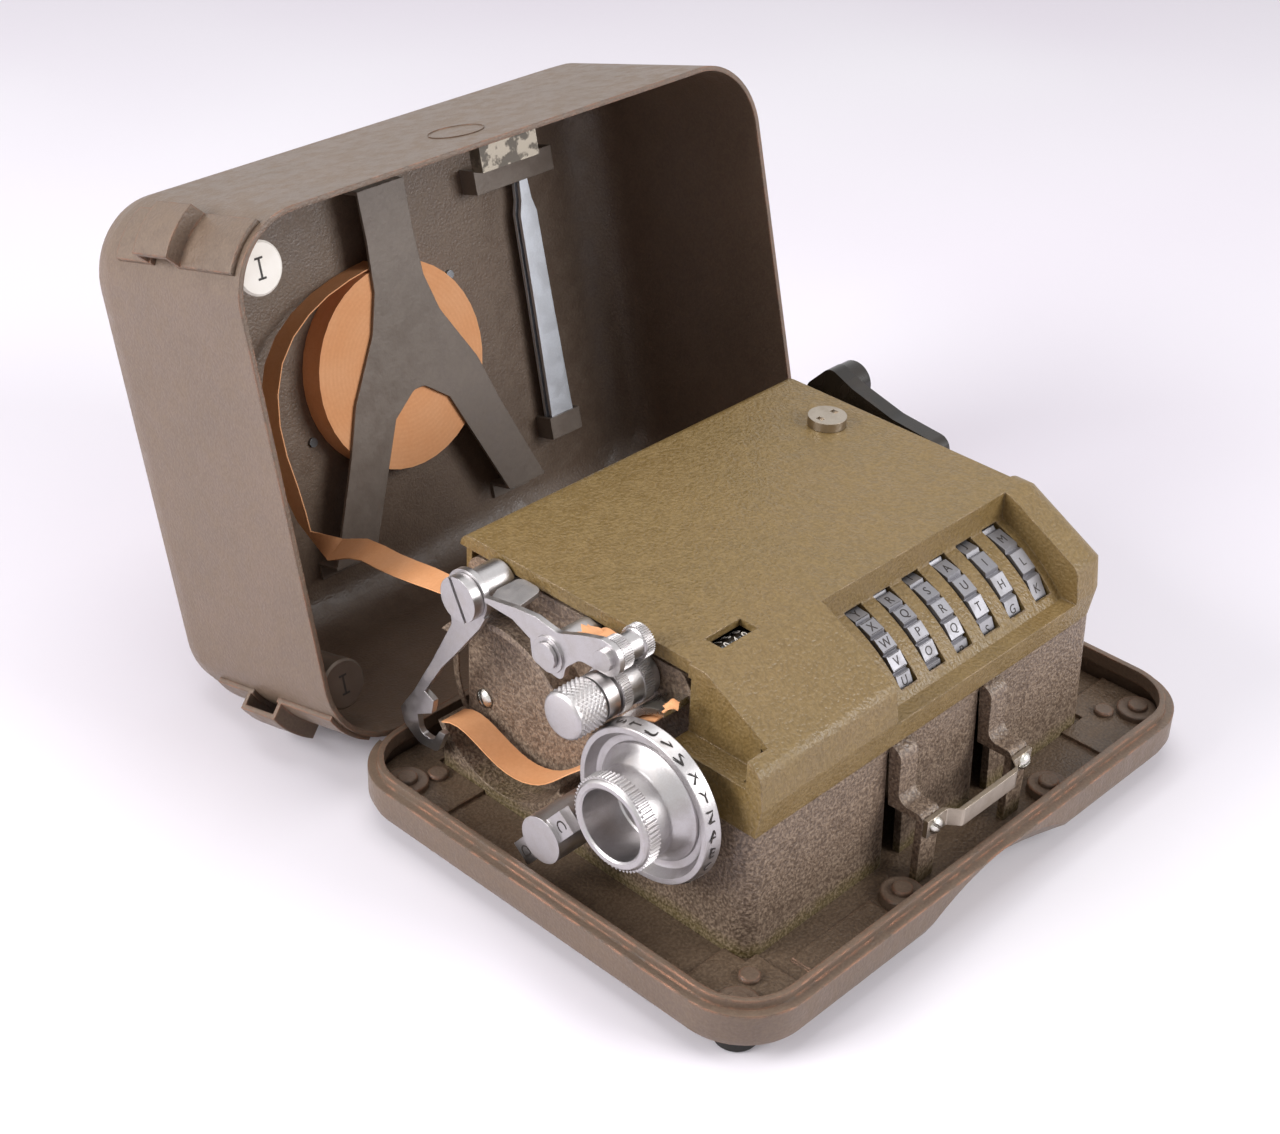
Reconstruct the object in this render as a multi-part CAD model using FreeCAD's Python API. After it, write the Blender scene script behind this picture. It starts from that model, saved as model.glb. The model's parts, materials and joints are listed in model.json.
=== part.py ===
import FreeCAD
import Part
import math
import os

os.makedirs("parts", exist_ok=True)

# Driving sizes in millimetres. Heights with the word up are measured from the underside of the tray.
foot_h = 4.4
tray_x = 178.0
tray_y = 134.5
tray_corner = 18.0
tray_ledge = 9.9
tray_lip = 12.1
lip_inset = 2.4
tray_sheet = 1.6
floor_top = 2.0
plate_t = 1.5
pad_t = 1.0
lid_depth = 68.6
lid_sheet = 1.3
lid_corner = 20.0
lid_edge_round = 14.6
lid_gap = 0.2
hinge_y = 66.4
hinge_up = 10.3
tape_w = 7.6
tape_t = 0.3

body_left = -66.3
body_right = 66.7
body_front = -46.4
body_rear = 55.3
wall_t = 2.0
cover_left = -58.6
cover_right = 59.2
cover_top = 68.3
cover_t = 1.9
seam_up = 39.5
side_seam_up = 47.0
rear_seam_up = 50.0
slope_y = -24.0
brow_y = -46.4
brow_up = 56.2

wheel_y = -21.8
wheel_up = 39.7
wheel_r = 20.5
wheel_w = 5.0
wheel_first_x = -7.4
wheel_pitch = 10.7
wheel_shaft_r = 3.0
running = 0.06

drum_y = 22.0
drum_up = 41.0
drum_bar_r = 16.4
drum_shaft_r = 3.0
bar_count = 27

plate_left_x = -58.0
plate_right_x = 54.0
frame_t = 2.5


def up(value):
    return foot_h + value


def vec(x, y, z):
    return FreeCAD.Vector(x, y, z)


def box(x0, x1, y0, y1, z0, z1):
    return Part.makeBox(x1 - x0, y1 - y0, z1 - z0, vec(x0, y0, z0))


def cyl_x(x0, x1, y, z, r):
    return Part.makeCylinder(r, x1 - x0, vec(x0, y, z), vec(1, 0, 0))


def cyl_y(y0, y1, x, z, r):
    return Part.makeCylinder(r, y1 - y0, vec(x, y0, z), vec(0, 1, 0))


def cyl_z(z0, z1, x, y, r):
    return Part.makeCylinder(r, z1 - z0, vec(x, y, z0))


def tube_x(x0, x1, y, z, r_out, r_in):
    return cyl_x(x0, x1, y, z, r_out).cut(cyl_x(x0 - 1, x1 + 1, y, z, r_in))


def many_sided(sides, r):
    """Corners of an even-sided bar that just fits inside a circle."""
    return [(r * math.cos(2 * math.pi * i / sides),
        r * math.sin(2 * math.pi * i / sides)) for i in range(sides)]


def bar_along_x(x0, x1, y, z, r, sides):
    points = [vec(x0, y + a, z + b) for a, b in many_sided(sides, r)]
    return Part.Face(Part.makePolygon(points + [points[0]])).extrude(vec(x1 - x0, 0, 0))


def bar_upright(z0, z1, x, y, r, sides):
    points = [vec(x + a, y + b, z0) for a, b in many_sided(sides, r)]
    return Part.Face(Part.makePolygon(points + [points[0]])).extrude(vec(0, 0, z1 - z0))


def round_bore(r, sides):
    """Radius to the corners of a many-sided bore whose flats lie at a wanted radius."""
    return r / math.cos(math.pi / sides)


def bore_x(x0, x1, y, z, r, sides):
    """A many-sided bore along x whose flats lie at the wanted radius."""
    return bar_along_x(x0, x1, y, z, round_bore(r, sides), sides)


def outline(points):
    """A closed wire through corners given as a place and a rounding radius."""
    count = len(points)
    ins = []
    outs = []
    mids = []
    for i in range(count):
        p, r = points[i]
        a = points[i - 1][0].sub(p)
        b = points[(i + 1) % count][0].sub(p)
        if r <= 0:
            ins.append(p)
            outs.append(p)
            mids.append(None)
            continue
        a.normalize()
        b.normalize()
        half = math.acos(max(-1.0, min(1.0, a.dot(b)))) / 2
        reach = r / math.tan(half)
        middle = a.add(b)
        middle.normalize()
        ins.append(p.add(a.multiply(reach)))
        outs.append(p.add(b.multiply(reach)))
        mids.append(p.add(middle.multiply(r / math.sin(half) - r)))
    edges = []
    for i in range(count):
        if mids[i] is not None:
            edges.append(Part.Arc(ins[i], mids[i], outs[i]).toShape())
        nxt = (i + 1) % count
        if outs[i].distanceToPoint(ins[nxt]) > 1e-6:
            edges.append(Part.makeLine(outs[i], ins[nxt]))
    return Part.Wire(edges)


def prism_x(points, x0, x1):
    """A side profile of y, height and rounding, drawn out along x."""
    wire = outline([(vec(x0, p[0], p[1]), p[2] if len(p) > 2 else 0) for p in points])
    return Part.Face(wire).extrude(vec(x1 - x0, 0, 0))


def prism_z(points, z0, z1):
    """A plan of x, y and rounding, drawn out upwards."""
    wire = outline([(vec(p[0], p[1], z0), p[2] if len(p) > 2 else 0) for p in points])
    return Part.Face(wire).extrude(vec(0, 0, z1 - z0))


def rounded_block(x0, x1, y0, y1, r, z0, z1):
    return prism_z([(x0, y0, r), (x1, y0, r), (x1, y1, r), (x0, y1, r)], z0, z1)


def rounded_wire(half_w, half_l, r, z):
    return outline([(vec(-half_w, -half_l, z), r), (vec(half_w, -half_l, z), r), (vec(half_w, half_l,
        z), r), (vec(-half_w, half_l, z), r)])


def crowned_block(half_w, half_l, r, z_open, z_crown, edge_r, steps):
    """A block whose rim at one end is rounded in a few even turns of a quarter circle."""
    way = 1.0 if z_crown > z_open else -1.0
    wires = [rounded_wire(half_w, half_l, r, z_open)]
    for i in range(steps + 1):
        a = math.pi / 2 * i / steps
        inset = edge_r * (1 - math.cos(a))
        z = z_crown - way * edge_r * (1 - math.sin(a))
        wires.append(rounded_wire(half_w - inset, half_l - inset, r - inset, z))
    return Part.makeLoft(wires, True, True)


def turned_x(profile, y, z):
    """A body of revolution about an axis along x, from a closed profile of x and radius."""
    points = [vec(p[0], y, z + p[1]) for p in profile]
    face = Part.Face(Part.makePolygon(points + [points[0]]))
    return face.revolve(vec(0, y, z), vec(1, 0, 0), 360)


def turned_z(profile, x, y):
    """A body of revolution about an upright axis, from a closed profile of radius and height."""
    points = [vec(x + p[0], y, p[1]) for p in profile]
    face = Part.Face(Part.makePolygon(points + [points[0]]))
    return face.revolve(vec(x, y, 0), vec(0, 0, 1), 360)


def fuse(shapes):
    whole = shapes[0]
    if len(shapes) > 1:
        whole = whole.multiFuse(shapes[1:])
    return whole.removeSplitter()


def save(name, shapes):
    if isinstance(shapes, list):
        shapes = Part.makeCompound(shapes) if len(shapes) > 1 else shapes[0]
    shapes.exportStep("parts/" + name + ".step")


# Angle between the closed and the open lid, from the rounded back edge coming down to the table.
swing_a = lid_edge_round - (tray_y / 2 - hinge_y)
swing_b = lid_depth - lid_edge_round - (hinge_up - tray_ledge - lid_gap)
swing_k = lid_edge_round + 0.05 - up(hinge_up)
lean = math.degrees(math.acos(swing_k / math.hypot(swing_a, swing_b)) - math.atan2(swing_b, swing_a))
lid_open = 90.0 + lean

half_x = tray_x / 2
half_y = tray_y / 2


def lid_y(height):
    """Place of a point of the closed lid, from its height above the hinge side when open."""
    return half_y - height


def lid_z(depth):
    return up(tray_ledge + lid_gap) + depth


def opened(shape):
    turned = shape.copy()
    turned.rotate(vec(0, hinge_y, up(hinge_up)), vec(1, 0, 0), -lid_open)
    return turned


# Tray
tray_edge_r = 3.0
outer = crowned_block(half_x, half_y, tray_corner, up(tray_ledge), up(0), tray_edge_r, 2)
lip_r = tray_corner - lip_inset
lip = rounded_block(-half_x + lip_inset, half_x - lip_inset, -half_y + lip_inset, half_y - lip_inset,
    lip_r, up(tray_ledge - 1.5), up(tray_lip))
cav = tray_sheet
low = rounded_block(-half_x + cav, half_x - cav, -half_y + cav, half_y - cav, tray_corner - cav,
    up(floor_top), up(tray_ledge - tray_sheet))
cav = lip_inset + tray_sheet
high = rounded_block(-half_x + cav, half_x - cav, -half_y + cav, half_y - cav, tray_corner - cav,
    up(floor_top), up(tray_lip + 1))
tray = outer.fuse(lip).cut(low).cut(high)
scoop_x = 2.0
scoop_low = 76.6
scoop_high = 69.6
scoop_y = -half_y - scoop_high
scoop = Part.makeCone(scoop_low + 0.7, scoop_high, tray_ledge + 1, vec(scoop_x, scoop_y, up(-1)))
web = Part.makeCone(scoop_low + 2.0, scoop_high + 2.0, tray_ledge - 0.4, vec(scoop_x, scoop_y, up(0)))
tray = tray.fuse(web.common(outer)).cut(scoop)
boss_r = 5.2
boss_sides = 10
foot_spots = [(-78.4, 53.5), (-78.4, -54.8), (-23.4, -57.0), (35.2, -57.3), (79.0, -55.0), (78.4, 53.5)]
for fx, fy in foot_spots:
    tray = tray.fuse(bar_upright(up(floor_top - 0.5), up(6.0), fx, fy, boss_r, boss_sides))
hinge_cut_x = 76.0
tray = tray.cut(box(-hinge_cut_x, hinge_cut_x, hinge_y - 0.75, half_y + 1, up(tray_ledge - 1.15),
    up(tray_ledge + 1)))
knuckle_r = 1.7
pin_r = 0.8
knuckle_len = 7.0
knuckle_sides = 10
knuckle_room_r = round_bore(knuckle_r + 0.3, knuckle_sides)
tray_knuckles = [-41.0, -27.0, 20.0, 34.0]
lid_knuckles = [-34.0, 27.0]
hinge_span = [(-41.0, -20.0), (20.0, 41.0)]
for x0, x1 in hinge_span:
    tray = tray.cut(bar_along_x(x0 - 0.3, x1 + 0.3, hinge_y, up(hinge_up), knuckle_room_r, knuckle_sides))
for kx in tray_knuckles:
    knuckle = bar_along_x(kx, kx + knuckle_len, hinge_y, up(hinge_up), knuckle_r, knuckle_sides)
    strap = box(kx, kx + knuckle_len, half_y - 2.9, hinge_y - 0.4, up(tray_ledge - 3.0), up(hinge_up - 0.6))
    tray = tray.fuse(strap).fuse(knuckle)
for x0, x1 in hinge_span:
    tray = tray.cut(bar_along_x(x0 - 1, x1 + 1, hinge_y, up(hinge_up), round_bore(pin_r + 0.05,
        knuckle_sides), knuckle_sides))
save("base_tray", tray.removeSplitter())

pins = []
for x0, x1 in hinge_span:
    pins.append(bar_along_x(x0 - 0.2, x1 + 0.2, hinge_y, up(hinge_up), pin_r, knuckle_sides))

feet = []
for fx, fy in foot_spots:
    feet.append(bar_upright(0.0, up(0), fx, fy, 5.6, 10))
save("rubber_feet", feet)

# Floor plate with raised corner pads
floor_low = up(floor_top)
floor_high = up(floor_top + plate_t)
pad_x = 62.7
pad_front_y = -40.0
pad_rear_y = 38.8
edge_x = half_x - 3.2
edge_y = half_y - 3.2
floor = rounded_block(-edge_x, edge_x, -edge_y, edge_y, 14.0, floor_low, floor_high)
pads = rounded_block(-edge_x, edge_x, -edge_y, edge_y, 14.0, floor_high - 0.5, floor_high + pad_t)
pads = pads.cut(box(-pad_x, pad_x - 5.5, -90, 90, floor_high - 1, floor_high + 3))
pads = pads.cut(box(-95, 95, pad_front_y, pad_rear_y, floor_high - 1, floor_high + 3))
floor = floor.fuse(pads)
strip = box(-57.8, -30.0, -60.6, -52.6, floor_high - 0.5, floor_high + 0.8)
floor = floor.fuse(strip)
clear = Part.makeCone(scoop_low + 2.3, scoop_high + 2.3, tray_ledge - 0.4, vec(scoop_x, scoop_y, up(0)))
floor = floor.cut(clear)
floor = floor.cut(box(body_left - 0.05, body_right + 0.05, body_front - 0.05, body_rear + 0.05,
    floor_high, floor_high + 5))
for fx, fy in foot_spots:
    floor = floor.cut(bar_upright(floor_low - 1, floor_high + 3, fx, fy, boss_r + 0.06, boss_sides))
save("floor_plate", floor.removeSplitter())

# Lower body: front wall with two leg channels, cheeks, right and rear walls, low left wall
stand = floor_high
lean_in = 1.9
front_low = body_front
front_high = body_front + lean_in
left_circle_y = 34.0
left_circle_up = 29.7
left_circle_r = 25.0
leg_w = 6.5
leg_xs = [-17.5, 17.5]
seam = up(seam_up)


def plan_body(z0, z1, inset):
    s = inset
    return prism_z(
        [
            (body_left + s, body_front + s - 3, 0),
            (body_right - s, body_front + s - 3, 0),
            (body_right - s, -19.0 - s, 3.0),
            (cover_right - s, -19.0 - s, 2.0),
            (cover_right - s, body_rear - s, 3.0),
            (body_left + s, body_rear - s, 3.0),
        ],
        z0,
        z1,
    )


solid_front = prism_x([(front_low, stand), (body_rear, stand), (body_rear, seam), (front_high, seam)],
    body_left, body_right)
solid_back = prism_x([(-19.0, stand), (body_rear, stand), (body_rear, up(rear_seam_up)), (-19.0,
    up(rear_seam_up))], body_left, cover_right)
corner = []
for edge in solid_front.Edges:
    box_e = edge.BoundBox
    if box_e.YMax < -40 and box_e.ZLength > 20:
        corner.append(edge)
solid_front = solid_front.makeFillet(5.0, corner)
outer_body = solid_front.fuse(solid_back).common(plan_body(stand, up(rear_seam_up), 0))
inner_front = prism_x([(front_low + wall_t, stand - 1), (60, stand - 1), (60, seam + 20),
    (front_high + wall_t + 1.0, seam + 20)], body_left, body_right)
inner_body = inner_front.common(plan_body(stand - 1, up(rear_seam_up) + 1, wall_t))
shell = outer_body.cut(inner_body)
for leg_x in leg_xs:
    mouth = box(leg_x - 0.4, leg_x + leg_w + 0.4, -60, front_high + wall_t + 3.0, stand - 1, up(36.5))
    shell = shell.cut(mouth)
shell = shell.cut(box(cover_left - 20, cover_left - 0.6, -22.3, body_rear - 7.0, up(12.0), up(80)))
shell = shell.cut(box(cover_left - 20, cover_left - 0.6, -30, body_rear + 5, up(17.0),
    up(80)).common(box(-90, 0, -22.3, 90, 0, 120)))
shell = shell.cut(cyl_x(-70, -55.5, left_circle_y, up(left_circle_up), left_circle_r + 0.05))
shell = shell.cut(cyl_x(-70, -55, wheel_y, up(wheel_up), 10.6))
shell = shell.cut(box(plate_left_x - 0.01, plate_right_x + frame_t + 0.01, body_rear - 8,
    body_rear - wall_t, stand - 1, up(80)))
shell = shell.cut(box(cover_right - 3, body_right + 3, -18.0, body_rear + 3, up(side_seam_up), up(80)))
shell = shell.cut(box(cover_right - 6, body_right + 3, -20.0, -17.9, seam, up(80)))
shell = shell.cut(box(body_left - 3, cover_left, -60, body_rear - 7.0, seam, up(80)))
bore_r = drum_shaft_r + 1.2
shell = shell.cut(cyl_x(52, 70, drum_y, up(drum_up), bore_r))
inner_pin_y = body_rear + 1.3
inner_pin_up = rear_seam_up
inner_knuckle_r = 1.5
inner_knuckles_low = [(-46.0, -36.0), (26.0, 36.0)]
inner_knuckles_high = [(-35.6, -25.6), (36.4, 46.4)]
shell = shell.cut(cyl_x(-35.8, -25.4, inner_pin_y, up(inner_pin_up), inner_knuckle_r + 0.3))
shell = shell.cut(cyl_x(36.2, 46.6, inner_pin_y, up(inner_pin_up), inner_knuckle_r + 0.3))
for x0, x1 in inner_knuckles_low:
    eye = bar_along_x(x0, x1, inner_pin_y, up(inner_pin_up), inner_knuckle_r, knuckle_sides)
    leaf = box(x0, x1, body_rear - 0.5, inner_pin_y, up(inner_pin_up - 7), up(inner_pin_up))
    shell = shell.fuse(leaf).fuse(eye)
for x0, x1 in inner_knuckles_low:
    shell = shell.cut(bar_along_x(x0 - 1, x1 + 1, inner_pin_y, up(inner_pin_up), round_bore(0.75,
        knuckle_sides), knuckle_sides))
body_solids = [s for s in shell.removeSplitter().Solids if s.Volume > 40]
save("body_shell", body_solids)
pins.append(bar_along_x(-46.1, -25.5, inner_pin_y, up(inner_pin_up), 0.7, knuckle_sides))
pins.append(bar_along_x(25.9, 46.5, inner_pin_y, up(inner_pin_up), 0.7, knuckle_sides))
save("hinge_pins", pins)

# Left frame plate with its round rim, stub for the setting knob and bearings
lp0 = plate_left_x
lp1 = plate_left_x + frame_t
left = prism_x(
    [
        (-42.0, stand, 0),
        (body_rear - wall_t, stand, 0),
        (body_rear - wall_t, up(63.5), 5.0),
        (-16.0, up(63.5), 3.0),
        (-18.6, up(60.0), 2.0),
        (-18.6, up(37.0), 0),
        (-42.0, up(37.0), 3.0),
    ],
    lp0,
    lp1,
)
rim = tube_x(body_left, lp0 + 0.5, left_circle_y, up(left_circle_up), left_circle_r, left_circle_r - 1.8)
rim = rim.cut(box(-80, -50, -10, 13.0, up(18.0), up(43.0)))
rim = rim.cut(box(-80, lp0, body_rear - 7.5, 80, up(17.0), up(45.0)))
rim = Part.makeCompound([s for s in rim.Solids if s.Volume > 30])
left = left.fuse(rim.Solids)
stub_r = 3.2
left = left.fuse(cyl_x(-80.0, lp0 + 1, wheel_y, up(wheel_up), stub_r))
left = left.fuse(bar_along_x(lp0 - 3.0, lp0 + 1, wheel_y, up(wheel_up), 6.0, 12))
cd_y = 1.8
cd_up = 20.5
left = left.fuse(cyl_x(lp0 - 4.0, lp0 + 1, cd_y, up(cd_up), 7.5))
left = left.cut(cyl_x(lp0 - 10.0, lp1 + 1, cd_y, up(cd_up), 2.55))
feed_y = -4.5
feed_up = 58.6
left = left.cut(cyl_x(lp0 - 1, lp1 + 1, feed_y, up(feed_up), 2.05))
left = left.cut(cyl_x(lp0 - 1, lp1 + 1, drum_y, up(drum_up), drum_shaft_r + running))
save("left_frame", left.removeSplitter())

right = prism_x(
    [
        (-41.5, stand, 0),
        (body_rear - wall_t, stand, 0),
        (body_rear - wall_t, up(65.5), 5.0),
        (-18.0, up(65.5), 3.0),
        (-27.0, up(57.0), 3.0),
        (-36.0, up(37.0), 3.0),
        (-41.5, up(37.0), 2.0),
    ],
    plate_right_x,
    plate_right_x + frame_t,
)
lock_x = 46.4
lock_y = 29.9
lock_low = 61.4
right = right.cut(box(plate_right_x - 1, plate_right_x + frame_t + 1, lock_y - 8.5, lock_y + 8.5,
    up(lock_low - 2.1), up(lock_low + 2.2)))
right = right.cut(cyl_x(plate_right_x - 1, 60, drum_y, up(drum_up), drum_shaft_r + running))
save("right_frame", right)

# Shaft of the key wheels and rod of the guide arms
rod_y = 1.6
rod_up = 17.0
save("wheel_shaft", cyl_x(lp1, plate_right_x, wheel_y, up(wheel_up), wheel_shaft_r))
save("guide_arm_rod", cyl_x(lp1, plate_right_x, rod_y, up(rod_up), 1.6))

# Key wheels: one per bore, each with its own number of letters and pins
pin_counts = [26, 25, 23, 21, 19, 17]
notch = 0.9
pin_out = 1.2
pin_ring_r = wheel_r - 4.0
for n in range(6):
    cx = wheel_first_x + n * wheel_pitch
    count = pin_counts[n]
    step = 2 * math.pi / count
    rim = []
    for i in range(count):
        for share, r in ((-0.38, wheel_r), (0.38, wheel_r), (0.50, wheel_r - notch)):
            a = (i + share) * step
            rim.append(vec(cx - wheel_w / 2, wheel_y + r * math.cos(a), up(wheel_up) + r * math.sin(a)))
    ring = Part.Face(Part.makePolygon(rim + [rim[0]])).extrude(vec(wheel_w, 0, 0))
    ring = ring.cut(bore_x(cx - 9, cx + 9, wheel_y, up(wheel_up), wheel_shaft_r + running, 12))
    pegs = []
    for i in range(count):
        right = (i * 7 + n * 3) % 5 < 2
        px = cx + wheel_w / 2 if right else cx - wheel_w / 2 - pin_out
        peg = box(px, px + pin_out, wheel_y + pin_ring_r - 0.8, wheel_y + pin_ring_r + 0.8,
            up(wheel_up) - 0.65, up(wheel_up) + 0.65)
        peg.rotate(vec(cx, wheel_y, up(wheel_up)), vec(1, 0, 0), math.degrees(i * step))
        pegs.append(peg)
    save("key_wheel_" + str(n + 1), [ring] + pegs)

# Guide arms, one beside each key wheel
arm_t = 1.4
for n in range(6):
    cx = wheel_first_x + n * wheel_pitch + 4.3
    arm = prism_x(
        [
            (rod_y - 3.0, up(rod_up), 0),
            (rod_y - 1.2, up(rod_up - 3.0), 0),
            (rod_y + 1.2, up(rod_up - 3.0), 0),
            (rod_y + 3.0, up(rod_up), 0),
            (rod_y + 3.0, up(rod_up + 6.0), 0),
            (rod_y - 1.0, up(rod_up + 16.0), 0),
            (rod_y + 1.4, up(rod_up + 25.0), 0),
            (rod_y - 1.8, up(rod_up + 27.0), 0),
            (rod_y - 6.5, up(rod_up + 22.0), 0),
            (rod_y - 5.2, up(rod_up + 18.0), 0),
            (rod_y - 3.6, up(rod_up + 12.0), 0),
        ],
        cx,
        cx + arm_t,
    )
    arm = arm.cut(bore_x(cx - 1, cx + 3, rod_y, up(rod_up), 1.66, 12))
    save("guide_arm_" + str(n + 1), arm)

# Drum of slide bars with its shaft, discs, bars, lugs and the drive handle
bar_x0 = -49.0
bar_x1 = 50.0
save("drum_shaft", cyl_x(lp0 + 0.3, 72.0, drum_y, up(drum_up), drum_shaft_r))
bars = []
lugs = []
for i in range(bar_count):
    a = 360.0 * i / bar_count
    bar = box(bar_x0, bar_x1, drum_y - 0.8, drum_y + 0.8, up(drum_up) + drum_bar_r - 1.6,
        up(drum_up) + drum_bar_r + 0.6)
    bar.rotate(vec(0, drum_y, up(drum_up)), vec(1, 0, 0), a)
    bars.append(bar)
    for k in range(2):
        wheel = (i * 2 + k * (1 + i % 3)) % 6
        lx = wheel_first_x + wheel * wheel_pitch + 3.6
        lug = box(lx, lx + 2.6, drum_y - 0.8, drum_y + 0.8, up(drum_up) + drum_bar_r + 0.6,
            up(drum_up) + drum_bar_r + 2.0)
        lug.rotate(vec(0, drum_y, up(drum_up)), vec(1, 0, 0), a)
        if k == 0 or wheel != (i * 2) % 6:
            lugs.append(lug)
bar_seat_r = drum_bar_r - 1.6
disc_r = round_bore(bar_seat_r, bar_count)
discs = []
for x0 in (-45.0, -12.9, 45.5):
    disc = bar_along_x(x0, x0 + 2.0, 0, 0, disc_r, bar_count)
    disc.rotate(vec(0, 0, 0), vec(1, 0, 0), 90.0 + 180.0 / bar_count)
    disc.translate(vec(0, drum_y, up(drum_up)))
    discs.append(disc.cut(bore_x(x0 - 1, x0 + 3, drum_y, up(drum_up), drum_shaft_r, 12)))
save("drum_discs", discs)
save("slide_bars", bars)
save("slide_bar_lugs", lugs)

handle_x = 68.2
hub = cyl_x(handle_x - 4.0, handle_x + 7.0, drum_y, up(drum_up), 7.0)
lever = prism_x(
    [
        (8.5, up(57.0), 4.5),
        (9.8, up(62.2), 3.5),
        (25.0, up(63.6), 12.0),
        (39.0, up(67.2), 8.0),
        (47.0, up(70.6), 3.4),
        (55.6, up(61.6), 4.0),
        (51.0, up(55.4), 4.0),
        (33.0, up(48.0), 12.0),
        (24.0, up(36.0), 3.0),
        (17.0, up(38.0), 3.0),
        (16.0, up(48.0), 6.0),
    ],
    handle_x,
    handle_x + 5.0,
)
grip = cyl_x(handle_x + 4.0, handle_x + 12.0, 47.2, up(62.6), 5.6)
handle = fuse([hub, lever, grip]).cut(cyl_x(handle_x - 6, 72.0, drum_y, up(drum_up), drum_shaft_r))
save("drive_handle", handle)

# Counter under the small window
count_y = -17.4
count_r = 5.0
count_up = cover_top - cover_t - count_r - 0.5
count_x = -49.9
count_w = 2.9
for n in range(4):
    x0 = count_x + n * 3.0
    digit = bar_along_x(x0, x0 + count_w, count_y, up(count_up), count_r, 20)
    digit = digit.cut(bore_x(x0 - 1, x0 + 4, count_y, up(count_up), 1.26, 8))
    save("counter_wheel_" + str(n + 1), digit)
c_right = count_x + 12.6
frame_c = fuse(
    [
        cyl_x(lp1, c_right + 1.6, count_y, up(count_up), 1.2),
        prism_x([(count_y - 5.5, up(count_up - 8.6)), (count_y + 5.5, up(count_up - 8.6)),
            (count_y + 3.0, up(count_up + 3.5)), (count_y - 3.0,
            up(count_up + 3.5))], c_right, c_right + 1.6),
        box(lp1, c_right + 1.6, count_y - 5.5, count_y + 5.5, up(count_up - 8.6), up(count_up - 7.0)),
    ]
)
save("counter_frame", frame_c)

# Inner cover casting: sloped front, deep recess with six curved slots, cheek shelf, flared shoulder
window_r = 47.6
mid_dir = math.radians(57.0)
recess_top_y = -22.8


def arc_point(direction_deg, extra):
    d = math.radians(direction_deg)
    e = window_r - (wheel_r - 0.9)
    b = 2 * e * math.cos(d - mid_dir)
    c = e * e - (window_r + extra) * (window_r + extra)
    dist = (-b + math.sqrt(b * b - 4 * c)) / 2
    return (wheel_y - dist * math.cos(d), up(wheel_up) + dist * math.sin(d))


def cover_profile(t, bottom):
    drop = (cover_top - brow_up) / (slope_y - brow_y)
    n_len = math.hypot(1.0, drop)
    shift = t * n_len
    r = max(0.6, 3.5 - t)
    y_slope = slope_y + (shift - t) / drop
    y_front = brow_y + t
    z_brow = up(brow_up) - shift + t * drop
    return [
        (body_rear - t, bottom, 0),
        (body_rear - t, up(cover_top) - t, r),
        (y_slope, up(cover_top) - t, r + 1.0),
        (y_front, z_brow, max(0.8, 4.0 - t)),
        (y_front - 1.2, up(47.5), 2.0),
        (y_front + 0.1, bottom, 0),
    ]


def recess(extra, x0, x1):
    a0 = 95.0
    a1 = 18.4
    low = arc_point(a1, -extra)
    mid = arc_point((a0 + a1) / 2, -extra)
    top = arc_point(a0, -extra)
    y_top = recess_top_y + extra
    far = -70.0
    inner = arc_point(86.0, -extra)
    start = vec(x0, far, up(90))
    corner = vec(x0, y_top, up(90))
    brow = vec(x0, y_top, top[1])
    arc_high = vec(x0, inner[0], inner[1])
    arc_mid = vec(x0, mid[0], mid[1])
    arc_low = vec(x0, low[0], low[1])
    front_low = vec(x0, far, low[1])
    edges = [
        Part.makeLine(start, corner),
        Part.makeLine(corner, brow),
        Part.makeLine(brow, arc_high),
        Part.Arc(arc_high, arc_mid, arc_low).toShape(),
        Part.makeLine(arc_low, front_low),
        Part.makeLine(front_low, start),
    ]
    return Part.Face(Part.Wire(edges)).extrude(vec(x1 - x0, 0, 0))


shoulder_r = 8.5


def shoulder_tool(a, b, x, r):
    """What is taken off outside a rounded edge that runs from one profile corner to the next."""
    start = vec(0, a[0], a[1])
    run = vec(0, b[0], b[1]).sub(start)
    run.normalize()
    out = vec(0, run.z, -run.y)
    length = vec(0, b[0], b[1]).distanceToPoint(start) + 2 * r
    start = start.sub(vec(-x, run.y * r, run.z * r))
    deep = vec(0, out.y * r, out.z * r)
    bend = math.sqrt(0.5) * r
    p1 = start.add(vec(-r, out.y, out.z))
    p2 = start.add(vec(1, out.y, out.z))
    p3 = start.sub(deep).add(vec(1, 0, 0))
    p4 = start.sub(deep)
    mid = start.sub(deep).add(vec(bend - r, out.y * bend, out.z * bend))
    p5 = start.sub(vec(r, 0, 0))
    arc_edge = Part.Arc(p4, mid, p5).toShape()
    edges = [Part.makeLine(p1, p2), Part.makeLine(p2, p3), Part.makeLine(p3, p4), arc_edge,
        Part.makeLine(p5, p1)]
    return Part.Face(Part.Wire(edges)).extrude(run.multiply(length))


recess_x0 = -19.5
recess_x1 = 51.8


def cover_solid(t, bottom):
    main = prism_x(cover_profile(t, bottom), cover_left + t, cover_right - t)
    wide = prism_x(cover_profile(t, bottom), body_left + t, body_right - t)
    wide = wide.common(box(-90, 90, -70, -19.0 - t, 0, 140))
    wide = wide.cut(box(-90, cover_left - 1.0 + t, -42.5 + t, 0, up(51.0) - t, 140))
    sides = cover_profile(t, bottom)[1:]
    for i in range(len(sides) - 1):
        wide = wide.cut(shoulder_tool(sides[i], sides[i + 1], body_right - t, shoulder_r - t))
    return main.fuse(wide)


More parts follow.
